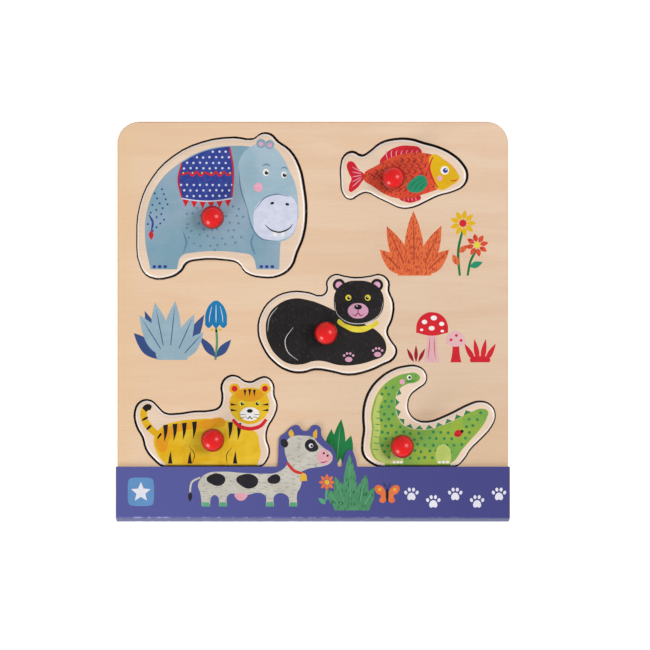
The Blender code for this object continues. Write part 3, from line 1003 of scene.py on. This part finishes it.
# The fish
fish = {
    "body": [(-19, 1), (-10, 8.5), (2, 14.5), (14, 16.5), (26, 15), (35, 10.5), (41, 4), (42.5, 0),
             (39, -3.5), (30, -6.5), (20, -10), (8, -13), (-3, -11), (-12, -5.5)],
    "face": [(25, 15), (34, 11), (40.5, 4.5), (42.5, 0), (38.5, -3.8), (29, -7), (26, -1), (23.5, 7)],
    "topFin": [(-8, 9), (-5, 15.5), (2, 20), (10.5, 21), (18, 18.5), (17, 12), (4, 8)],
    "tail": [(-18, 1.5), (-22, 6), (-26.5, 11), (-29, 10), (-28, 3), (-26.5, 0), (-28, -5), (-27.5, -8.5),
             (-24, -7), (-20, -2.5)],
    "bellyFin": [(4, -12), (8, -15), (14, -15), (18, -12), (11, -10.5)],
    "sideFin": [(19, 2), (12, -1), (9, -6), (13, -9), (20, -7), (22, -2)],
}


def printFish(lay):
    lay("crimson", [fish["topFin"], fish["tail"], fish["bellyFin"]])
    rays = [stroke([(x, 11), (x - 0.8 + (x - 5) * 0.05, 15.5), (x + (x - 5) * 0.1, 18.2)], 0.5)
            for x in (-3, 0, 3, 6, 9, 12, 15)]
    rays += [stroke([(-20, 2 + turn), (-26, turn * 3.2 + 1)], 0.5) for turn in (-2, -1, 0, 1, 2)]
    rays += [stroke([(x, -12.2), (x + 0.6, -14.4)], 0.45) for x in (7, 9.5, 12, 14.5)]
    lay("blush", rays, 1)
    lay("scarlet", [fish["body"]], 2)
    scales = []
    for row in range(7):
        for column in range(11):
            x, y = -15 + column * 4.1 + (row % 2) * 2.05, -10.5 + row * 3.7
            arc = [(x - 0.9, y + 1.7), (x + 1.3, y), (x - 0.9, y - 1.7)]
            if x < 21 and all(holds(fish["body"], p) and clearOf(through(fish["body"], closed=True), p) > 1.1
                              for p in arc) and not holds(fish["sideFin"], (x, y)):
                scales.append(stroke(arc, 0.6, 0.5, 0.5))
    lay("deepCrimson", scales, 3)
    lay("yellow", [fish["face"]], 3)
    lay("teal", [fish["sideFin"]], 4)
    lay("forest", lines(0.55, [(19.5, 0.6), (14, -2.4), (11.2, -6)], [(20.3, -1.4), (16, -4), (13.6, -7.6)],
                        [(21, -3), (18.4, -5.4), (17.4, -7.4)]), 5)
    lay("crimson", [stroke([(25.6, 13.6), (23.4, 7), (25.9, -1), (28.8, -6)], 1.1, 0.6, 0.6),
                    stroke([(36.6, -1.3), (39.3, -1.5), (41.3, -0.3)], 0.7)], 4)
    lay("blush", dots([(30, 0.2)], 1.7), 4)
    lay("white", dots([(33.2, 5.2)], 2.7), 4)
    lay("navy", dots([(33.6, 5.1)], 1.6), 5)
    lay("white", dots([(34.1, 5.8)], 0.5), 6)


# The bear
bear = {
    "body": [(-38.5, 1), (-37, 11), (-31, 18), (-21.5, 22), (-11, 21), (-1, 17.5), (10, 12), (24, 6), (34, 0),
             (38.5, -8), (37, -14), (30, -17.5), (18, -20.5), (8, -20.5), (-2, -18), (-8, -18), (-15, -20),
             (-24, -19.5), (-31.5, -14.5), (-36.5, -7)],
    "head": [(5, 20), (7, 28), (13, 32.5), (20.5, 33.5), (28, 32.5), (34.5, 28), (37, 20), (34.5, 11.5),
             (28, 7), (20.5, 5.5), (13, 7), (7, 12)],
    "ears": [(8.3, 30.7), (32.6, 30.7)],
    "collar": [(7.5, 8.4), (13, 2.6), (20, 0.4), (28, 2.2), (33.4, 7.4), (28.5, 5.6), (20.5, 4.2),
               (12.6, 5.9)],
    "paws": [(33, -12.4), (14.5, -15.6)],
}


def printBear(lay):
    lay("bearBlack", [bear["body"]])
    lay("bearBlack", dots(bear["ears"], 4.0))
    lay("pink", dots(bear["ears"], 2.2), 1)
    lay("chalk", [
        stroke([(-18, -17.5), (-24.5, -12), (-26, -4), (-21, 3.5)], 0.5),
        stroke([(5.6, 20), (7, 12.4), (13, 7.3), (20.5, 5.9), (28, 7.4), (34.2, 12), (36.6, 20)], 0.45),
        stroke([(-37.4, 1), (-36, 10), (-31, 16.4)], 0.4)], 3)
    lay("bearBlack", [bear["head"]], 2)
    lay("lemon", [bear["collar"]], 2)
    lay("pink", [oval(20.5, 14.2, 6.6, 4.9)], 3)
    for x, y in bear["paws"]:
        toes = [(x + across, y + up) for across, up in ((-2.9, 1.2), (-1.0, 2.5), (1.0, 2.5), (2.9, 1.2))]
        lay("pink", [oval(x, y - 1.3, 2.3, 1.6)] + dots(toes, 0.78), 1 if x > 20 else 4)
    lay("lemon", dots([(14.3, 22.6), (26.7, 22.6)], 1.9), 3)
    lay("black", dots([(14.6, 22.4), (26.4, 22.4)], 1.05) + [oval(20.5, 16.6, 2.5, 1.6)], 4)
    lay("white", dots([(15.0, 22.9), (26.8, 22.9), (19.8, 17.2)], 0.38), 5)
    lay("deepCrimson", [stroke([(16.9, 12.2), (18.7, 11), (20.5, 12.7), (22.3, 11), (24.1, 12.2)], 0.7),
                        stroke([(20.5, 15), (20.5, 12.6)], 0.6)], 4)


# The tiger
tiger = {
    "body": [(-30.5, -15.3, "c"), (-34.6, -11), (-37, -6), (-38, 0), (-33, 8), (-24, 11.5), (-12, 13),
             (0, 13.3), (10, 12), (20, 8), (28, 4), (29.5, -3), (30.4, -9), (28.5, -15.3, "c")],
    "saddle": [(-36.4, -4), (-32.5, 5.6), (-24, 9.6), (-10, 11.4), (8, 11), (0, 7.6), (-16, 6.4), (-27, 2),
               (-32, -8)],
    "brow": [(14.5, 28.8), (23.4, 32.4), (32.3, 28.8), (29, 25.6), (23.5, 24.4), (17.8, 25.6)],
    "head": [(10.5, 22), (12.5, 29), (18, 32.5), (23.5, 33.3), (29, 32.5), (34, 29), (36, 22), (33.5, 15),
             (28, 11), (23.5, 10), (19, 11), (13, 15)],
    "tail": [(-34, 2), (-40, 7), (-44, 13), (-44, 19), (-40.6, 20.6)],
    "ears": [(13.7, 32.6), (33.2, 32.6)],
    "stripes": (-30.5, -24.5, -18.5, -12, 11, 16.5),
}


def printTiger(lay):
    lay("tigerYellow", [tiger["body"]])
    lay("tigerYellow", [stroke(tiger["tail"], 4.4, 0.9, 0.8)], 1)
    lay("tigerOrange", [tiger["saddle"]], 1)
    wedges = []
    for x in tiger["stripes"]:
        top = 13 - abs(x + 2) * 0.11
        wedges.append([(x - 1.5, top - 0.6, "c"), (x + 1.6, top - 0.2, "c"), (x + 1.0, top - 6),
                       (x - 0.8, top - 11.5, "c"), (x - 0.9, top - 6)])
    for x in (-27.5, -15, 14):
        wedges.append([(x - 1.3, -15.3, "c"), (x + 1.5, -15.3, "c"), (x + 0.8, -11), (x + 0.5, -7, "c"),
                       (x - 0.6, -11)])
    bands = [stroke([(-39.6, 9.2), (-42.6, 6.4)], 1.5, 0.7, 0.5),
             stroke([(-41.8, 14.4), (-45.4, 12.4)], 1.4, 0.7, 0.5),
             stroke([(-44.2, 19), (-42, 20.8), (-39.6, 20.2)], 4.0, 0.9, 0.6)]
    legs = lines(0.45, [(-13.5, -15.3), (-12, -9.5), (-15.5, -4)], [(9, -15.3), (8.6, -9.8), (12, -5)])
    lay("black", wedges + bands + legs, 2)
    lay("tigerYellow", dots(tiger["ears"], 3.4), 2)
    lay("crimson", dots(tiger["ears"], 1.9), 3)
    lay("crimson", [stroke([(12.6, 13), (17, 8.6), (23.5, 7), (30, 8.6), (34, 13)], 2.4, 0.8, 0.8)], 3)
    lay("tigerYellow", [tiger["head"]], 4)
    lay("tigerOrange", [tiger["brow"]], 5)
    lay("white", [oval(23.5, 16.4, 6.2, 4.3)], 5)
    marks = []
    for x in (20.4, 23.4, 26.4):
        top = 32.4 - abs(x - 23.4) * 0.16
        marks.append([(x - 0.9, top, "c"), (x + 0.9, top, "c"), (x, 27.4, "c")])
    for y in (22.6, 19.0):
        cheek = [(11.2, y + 0.8, "c"), (11.4, y - 0.8, "c"), (15.6, y - 0.4, "c")]
        marks += [cheek, mirrored(cheek, 23.3)]
    whiskers = [[(25.8, 15.6 + rise), (30, 15.2 + rise * 2.2)] for rise in (-0.8, 0.4)]
    whiskers = lines(0.35, *whiskers, *(mirrored(whisker, 23.5) for whisker in whiskers))
    lay("black", marks + whiskers + [oval(23.5, 18.4, 1.9, 1.2),
        stroke([(21, 14.4), (22.4, 13.4), (23.5, 14.8), (24.6, 13.4), (26, 14.4)], 0.6)], 6)
    lay("lemon", dots([(18.4, 23.2), (28.6, 23.2)], 1.9), 6)
    lay("black", dots([(18.7, 23.0), (28.3, 23.0)], 1.05), 7)
    lay("white", dots([(19.1, 23.5), (28.7, 23.5)], 0.38), 8)


# The dinosaur
dinosaur = {
    "body": [(-11, -11.3, "c"), (-17, -8.5), (-20, -3), (-20, 4), (-19.2, 11), (-19.8, 18.5), (-18.5, 26.5),
             (-15.5, 34), (-10.5, 40), (-4, 44.3), (3, 46.4), (9.5, 46.3), (11.5, 43.6), (9.5, 41), (3, 39.5),
             (-2, 36), (-4, 31), (-4, 24), (-2.5, 18), (2, 12.5), (9, 10.5), (17, 10.5), (27, 13.5),
             (36, 17.5), (44, 21.5), (51, 23.8), (55, 22), (54.5, 18.5), (51, 12), (45, 5), (38, -3),
             (34, -9), (31, -11.3, "c")],
    "belly": [(-11, -11.3, "c"), (-16, -8), (-18.9, -2), (-18.8, 5), (-18, 12), (-18.6, 19), (-17, 27),
              (-13.6, 33), (-14.6, 24), (-13.8, 12), (-14.6, 2), (-11, -6), (-3, -11.3, "c")],
    "knees": [[(22.5, -11.3, "c"), (21.5, -4.5), (25, 1), (30, -1), (31.5, -7), (30.8, -11.3, "c")],
              [(-6.5, -11.3, "c"), (-7.5, -5.5), (-4.2, -1), (0.4, -3), (1, -8), (0.6, -11.3, "c")]],
    "spine": [(-2.2, 35.6), (-4.1, 29.5), (-3.6, 23), (-1.4, 16.8), (3.2, 12.2), (9.5, 10.7), (16, 10.7),
              (22.3, 12), (28.4, 14.3), (34.4, 17), (40.3, 19.8), (46, 22.4)],
    "seed": 4,
}


def printDinosaur(lay):
    line = through(dinosaur["spine"], steps=2)
    plates = []
    for (ax, ay), (bx, by) in zip(line[:-1:2], line[1::2]):
        along = math.atan2(by - ay, bx - ax)
        tip = ((ax + bx) / 2 - math.sin(along) * 2.6, (ay + by) / 2 + math.cos(along) * 2.6)
        plates.append([(ax - math.cos(along), ay - math.sin(along), "c"), (*tip, "c"),
                       (bx + math.cos(along), by + math.sin(along), "c")])
    lay("fern", plates)
    lay("dinoGreen", [dinosaur["body"]], 1)
    belly = dinosaur["belly"]
    lay("dinoPale", [belly], 2)
    spots = [p for p in scatter(dinosaur["body"], 4.7, 2.2, dinosaur["seed"], 0.12)
             if not holds(belly, p) and p[1] < 38 and math.dist(p, (36, 8)) > 4.5]
    folds = [[(-18.6 + 0.1 * y, y), (-14.8 + 0.06 * y, y - 0.5)] for y in range(-2, 23, 4)]
    lay("fern", dots(spots, 0.95) + [stroke([(1.5, 41.6), (5, 41.2), (9, 42.3)], 0.7)] + lines(0.5, *folds)
        + [oval(8.8, 44.7, 0.5, 0.4)], 3)
    lay("dinoPale", dinosaur["knees"], 4)
    toes = [oval(x, -10.4, 1.0, 0.8) for x in (24, 26.6, 29.2, -5, -2.6, -0.4)]
    lay("white", dots([(4.6, 43.9)], 1.5) + toes, 5)
    lay("black", dots([(4.9, 43.8)], 0.85), 6)
    lay("blush", dots([(0.2, 41.0)], 1.7), 4)
    lay("crimson", [oval(36, 8, 2.7, 2.2, 25)], 4)
    lay("black", dots([(38.4, 9.3)], 1.0) + dots([(35.4, 9), (36.2, 6.9), (34.6, 7.2)], 0.4), 5)


# Plants on the board, in millimetres from its middle
plants = {
    "fanLeaves": [(60, 26.5, 24, 9.5, 136), (70, 26.5, 24, 9.5, 44), (62, 26.5, 35, 10.5, 115),
                  (68, 26.5, 35, 10.5, 66), (65, 26.5, 41.5, 11.5, 91)],
    "paleLeaves": [(-93, -27.5, 34, 11, 122), (-94, -27.5, 37.5, 11.5, 101), (-92, -27.5, 38, 11, 84),
                   (-89, -27.5, 32, 10, 66), (-86, -27.5, 24, 9, 48)],
    "darkLeaves": [(-98, -27.5, 24, 8.5, 134), (-95, -27.5, 34, 8, 112), (-85, -27.5, 33, 8, 62)],
    "bell": [(-69, -5, "c"), (-68.5, 3), (-65, 9), (-62, 10.5), (-59, 9), (-55.5, 3), (-55, -5, "c"),
             (-57.3, -7), (-59.7, -5, "c"), (-62, -7), (-64.3, -5, "c"), (-66.7, -7)],
    "redCap": [(66, -10, "c"), (67, -3), (71.5, 2), (77, 3), (82.5, 1), (86, -4), (86.5, -10, "c"),
               (76, -12)],
    "pinkStem": [(73.5, -11, "c"), (72.5, -20), (71, -29, "c"), (81, -29, "c"), (79.5, -20), (79, -11, "c")],
    "pinkCap": [(85, -17, "c"), (86, -12), (90.5, -9), (95.5, -11), (98, -17, "c"), (91, -19)],
    "redStem": [(89.5, -18, "c"), (89, -24), (88, -29, "c"), (95, -29, "c"), (94, -24), (93.5, -18, "c")],
    "daisies": [(96, 60, 8.5, 9), (105, 46, 7.5, 8)],
    "greenLeaves": [(11, -95, 23.5, 8, 88), (15, -95, 30, 8.4, 84), (19, -95, 20, 7.6, 74)],
}


def petals(x, y, reach, count, start=0.0):
    inner = reach * 0.26
    width = 2 * math.pi * (inner + 0.38 * (reach - inner)) / count * 0.94
    turns = [start + 360 / count * step for step in range(count)]
    return [leaf(x + math.cos(math.radians(turn)) * inner, y + math.sin(math.radians(turn)) * inner,
                 reach - inner, width, turn) for turn in turns]


def grass(x, y, height, count, lean=26):
    blades = [step - (count - 1) / 2 for step in range(count)]
    return [leaf(x + aside * height * 0.13, y, height * (1 - 0.09 * abs(aside)), height * 0.2,
                 90 - aside * lean) for aside in blades]


def mound(x, y, width, height):  # the foot of a bush
    return [(x - width / 2, y, "c"), (x - width * 0.54, y + height * 0.5), (x, y + height),
            (x + width * 0.54, y + height * 0.5), (x + width / 2, y, "c")]


def leaves(specs):
    return [leaf(*spec) for spec in specs]


def midribs(specs, thick):
    ribs = []
    for x, y, length, width, turn in specs:
        ahead, side = math.cos(math.radians(turn)), math.sin(math.radians(turn))
        rib = [(x + ahead * length * share, y + side * length * share) for share in (0.25, 0.5, 0.88)]
        ribs.append(stroke(rib, thick, 0.9, 0.2))
    return ribs


def layEach(lay, look, outlines, level=0):  # for outlines that overlap, which one film can't hold
    for step, outline in enumerate(outlines):
        lay(look, [outline], level + step * 0.1)


def printBoard(lay):
    layEach(lay, "orange", leaves(plants["fanLeaves"]) + [mound(65, 26.5, 21, 10)])
    lay("rust", midribs(plants["fanLeaves"], 0.8), 1)
    stems = [stroke([(94, 26.5), (93, 42), (96, 56)], 1.6, 0.9, 0.8),
             stroke([(99, 26.5), (101, 36), (105, 43)], 1.5, 0.9, 0.8)]
    lay("forest", stems)
    lay("orange", [leaf(93.2, 33, 8, 4.0, 118), leaf(93.4, 41, 7.5, 3.6, 42)], 1)
    lay("teal", [leaf(100.2, 32, 9, 4, 20)], 1)
    (ax, ay, areach, acount), (bx, by, breach, bcount) = plants["daisies"]
    lay("yellow", petals(ax, ay, areach, acount), 2)
    lay("scarlet", petals(bx, by, breach, bcount, 12), 2)
    lay("crimson", dots([(ax, ay)], 2.3), 3)
    lay("lemon", dots([(bx, by)], 2.0), 3)
    layEach(lay, "duskBlue", leaves(plants["darkLeaves"]))
    layEach(lay, "skyBlue", leaves(plants["paleLeaves"]) + [mound(-90, -27.5, 19, 10)], 1)
    lay("duskBlue", midribs(plants["paleLeaves"], 0.55), 2)
    lay("stem", [stroke([(-62, -6), (-61.4, -16), (-62.4, -27.5)], 1.5, 0.9, 0.9)])
    lay("duskBlue", [leaf(-62, -26, 17, 5, 128), leaf(-62, -26, 15, 5, 50)], 1)
    lay("brightBlue", [plants["bell"]], 1)
    lay("mist", lines(0.6, [(-62, 8), (-62, 1), (-62, -3.6)]) + lines(
        0.5, [(-64.6, 7), (-66, 1), (-66.4, -3.6)], [(-59.4, 7), (-58, 1), (-57.6, -3.6)]), 2)
    lay("yellow", dots([(-64.6, -8.2), (-62, -8.9), (-59.4, -8.2)], 0.8))
    lay("palePink", [plants["pinkStem"]])
    lay("crimson", [plants["redCap"]], 1)
    lay("white", [oval(71.4, -3.2, 1.7, 1.4), oval(77.4, -0.6, 2.0, 1.5), oval(82.4, -4.4, 1.6, 1.3),
                  oval(76, -7.2, 1.9, 1.4), oval(69.6, -8.2, 1.0, 0.8), oval(82.8, -9, 1.1, 0.8)], 2)
    gills = [(75, -13), (74.4, -20), (73.6, -27)], [(77.6, -13), (77.8, -20), (78.4, -27)]
    lay("crimson", lines(0.45, *gills), 1)
    lay("crimson", [plants["redStem"]], 0.6)
    lay("palePink", [plants["pinkCap"]], 1)
    lay("crimson", dots([(88.4, -14.6), (91.8, -11.8), (94.8, -15)], 0.9), 2)
    layEach(lay, "crimson", grass(107, -29, 16, 4, 20) + [mound(107, -29, 12, 4)])
    layEach(lay, "deepCrimson", grass(66, -29, 11, 3), 0.7)
    layEach(lay, "forest", leaves(plants["greenLeaves"]))
    lay("stem", [stroke([(15.4, -94), (16.3, -82), (17.4, -70)], 0.6),
                 stroke([(11.2, -94), (11.8, -80)], 0.5)], 1)


# Prints on the card, in millimetres across from the board's middle and up from the sleeve's edge
card = {
    "badge": [(-117.4, -8), (-115, -7.2), (-110, -7), (-105, -7.2), (-102.6, -8), (-101.8, -10.6),
              (-101.6, -16), (-101.8, -21.6), (-102.6, -24.2), (-105, -25), (-110, -25.2), (-115, -25),
              (-117.4, -24.2), (-118.2, -21.6), (-118.4, -16), (-118.2, -10.6)],
    "cow": [(-72, -8), (-68, -4.5), (-58, -3.2), (-45, -4), (-32, -4.5), (-24, -4), (-19, -1.5), (-15, 2),
            (-8, 0), (-7, -6), (-8, -13), (-10, -17), (-10, -25.5, "c"), (-15, -25.5, "c"), (-16.5, -18.5),
            (-24, -18), (-25, -25.5, "c"), (-30, -25.5, "c"), (-31, -18), (-45, -18.5), (-54, -18),
            (-55, -25.5, "c"), (-60, -25.5, "c"), (-61, -19), (-64, -18.5), (-66, -25.5, "c"),
            (-71, -25.5, "c"), (-72, -17), (-73.5, -12)],
    "patches": [[(-66, -5.6), (-59, -4.8), (-56, -8), (-59, -12), (-65, -11), (-68, -8)],
                [(-46, -5.4), (-37, -6), (-35, -10), (-40, -14), (-46, -12), (-49, -8)],
                [(-27, -6), (-22, -5.4), (-21, -9), (-25, -11), (-29, -9)]],
    "head": [(-17, 6), (-18, 12), (-16, 17.5), (-12, 19.6), (-6, 19.8), (0, 18.8), (3, 15.6), (7, 12),
             (11.6, 8.6), (12.6, 5), (10.6, 2), (5, 0), (-2, -1), (-9, -3), (-14, 0)],
    "ear": [(-16.4, 16.4), (-19.6, 17.6), (-20.6, 15.4), (-19.2, 12.8), (-16.6, 12.6)],
    "wing": [(46.8, -17.6), (42.5, -11.8), (39.7, -13), (40.9, -17), (43.5, -18.6), (42.5, -22), (45.5, -23)],
    "eyePatch": [(-1, 17.6), (2.4, 14.6), (3.4, 11.4), (0, 9.5), (-4, 11), (-5, 15)],
    "muzzle": [(6, 11), (10.4, 8.2), (12, 4.8), (9.6, 2.2), (5, 1.6), (3, 5)],
    "bushLeaves": [(19, -28, 17, 7, 126), (31, -28, 17, 7, 60), (21.5, -28, 23, 8, 109),
                   (28.5, -28, 24, 8, 76), (24, -28, 36, 8.4, 91)],
    "prints": (63, 77, 91, 105, 119),
    "toes": [(-3.6, 1.0, 22), (-1.35, 2.9, 8), (1.35, 2.9, -8), (3.6, 1.0, -22)],
}


def star(x, y, reach, points=5):
    places = []
    for step in range(points * 2):
        angle = math.radians(90 + step * 180 / points)
        along = reach if step % 2 == 0 else reach * 0.45
        places.append((x + along * math.cos(angle), y + along * math.sin(angle), "c"))
    return places


def printSleeve(lay):
    lay("badgeBlue", [card["badge"]])
    lay("cardWhite", [star(-110, -16.4, 6.6)], 1)
    lay("cowGrey", [card["cow"], stroke([(-72, -7), (-77.4, -10), (-78.6, -17)], 1.2, 0.9, 0.8)])
    lay("cowBlack", card["patches"] + [leaf(-78.4, -16, 6.4, 2.6, -92)], 1)
    lay("cardPink", [[(-50, -17.6), (-46, -17), (-42, -17.6), (-43, -20.4), (-46, -21.8), (-49, -20.4)]], 1)
    lay("hoof", [[(x, -25.5, "c"), (x + 5, -25.5, "c"), (x + 4.6, -22.8, "c"), (x + 0.4, -22.8, "c")]
                 for x in (-71, -60, -30, -15)], 1)
    lay("cardYellow", [[(-14.5, 18.8, "c"), (-15.6, 21.6), (-13.9, 24, "c"), (-12.4, 21.8), (-12, 19.2, "c")],
                       [(0.2, 18.6, "c"), (0.2, 21.6), (2.4, 24, "c"), (2.8, 21.6), (2.4, 18, "c")]])
    lay("cowGrey", [card["head"]], 1)
    lay("cowBlack", [card["eyePatch"], card["ear"]], 2)
    lay("cardPink", [card["muzzle"]], 2)
    lay("cardRed", [stroke([(-16.6, 2.6), (-12, -2.6), (-6.4, -4.4)], 1.9, 0.8, 0.8)], 3)
    lay("cardYellow", [[(-7.4, -4.6), (-5, -4.4), (-3.6, -9, "c"), (-8.2, -9.4, "c")]], 4)
    lay("cardWhite", dots([(-1.2, 13.4)], 1.4), 3)
    lay("cowBlack", dots([(-0.8, 13.2)], 0.8) + [oval(9.4, 7, 0.6, 0.8, -40), oval(7, 8.6, 0.6, 0.8, -40),
                                                 stroke([(4.8, 2.8), (7, 2.8), (9.4, 3.6)], 0.5)], 4)
    lay("hoof", [stroke([(9, -12), (8.4, -20), (9, -27)], 1.1, 0.9, 0.9), leaf(8.6, -22, 6.4, 2.8, 40),
                 leaf(8.5, -24, 6.4, 2.8, 142)])
    lay("cardOrange", petals(9, -10, 5.4, 8), 1)
    lay("cardYellow", dots([(9, -10)], 1.6), 2)
    layEach(lay, "bush", leaves(card["bushLeaves"]) + [mound(25, -28, 22, 9)], 1)
    lay("hoof", midribs(card["bushLeaves"], 0.6), 2)
    lay("cardOrange", [card["wing"], mirrored(card["wing"], 47.5)])
    lay("cardYellow", dots([(42.7, -14.6), (52.3, -14.6)], 1.1), 1)
    lay("cowBlack", [oval(47.5, -18, 0.9, 4.2), stroke([(47, -13.6), (45.9, -11.6), (45.1, -10.4)], 0.5),
                     stroke([(48, -13.6), (49.1, -11.6), (49.9, -10.4)], 0.5)], 2)
    paws = []
    for step, x in enumerate(card["prints"]):
        y = -17.6 if step % 2 == 0 else -22.4
        paws.append([(x - 2.6, y - 2.0), (x, y + 1.0), (x + 2.6, y - 2.0), (x + 1.4, y - 3.8), (x, y - 3.3),
                     (x - 1.4, y - 3.8)])
        paws += [oval(x + reach, y + rise, 0.95, 1.25, tilt)
                 for reach, rise, tilt in card["toes"]]
    lay("cardWhite", paws)


def addPrints():
    middle = (boardMiddle.x, boardMiddle.y)
    edge = (boardMiddle.x, boardMiddle.y - sleeve["edge"])
    drawers = (printHippo, printFish, printBear, printTiger, printDinosaur)
    # The name, the drawer, the point drawn from, the piece below, the body and the slot
    sheets = [(animal + "Print", draw, pegOf(animal), animal + "_insert", animal + "_piece", "insert_plywood")
              for animal, draw in zip(animals, drawers)]
    # the painted shade for the gaps lies on the backing
    sheets += [("gapShadeLines", paintGapShade, (0.0, 0.0), "base_board", "board", "backing_plywood"),
               ("plantPrints", printBoard, middle, "frame_board", "board", "pale_plywood"),
               ("sleevePrints", printSleeve, edge, "card_sleeve", "sleeve", "violet_card")]
    for name, draw, origin, piece, body, slot in sheets:
        sheet = Sheet(name, origin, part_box(piece)[1].z)
        draw(sheet.lay)
        sheet.hang(body, slot)


addCamera()
addLights()
addFloor()
print("camera, lights and floor ready")
dressFrame()
addKnobs()
print("wood, card and knobs dressed")
addPrints()
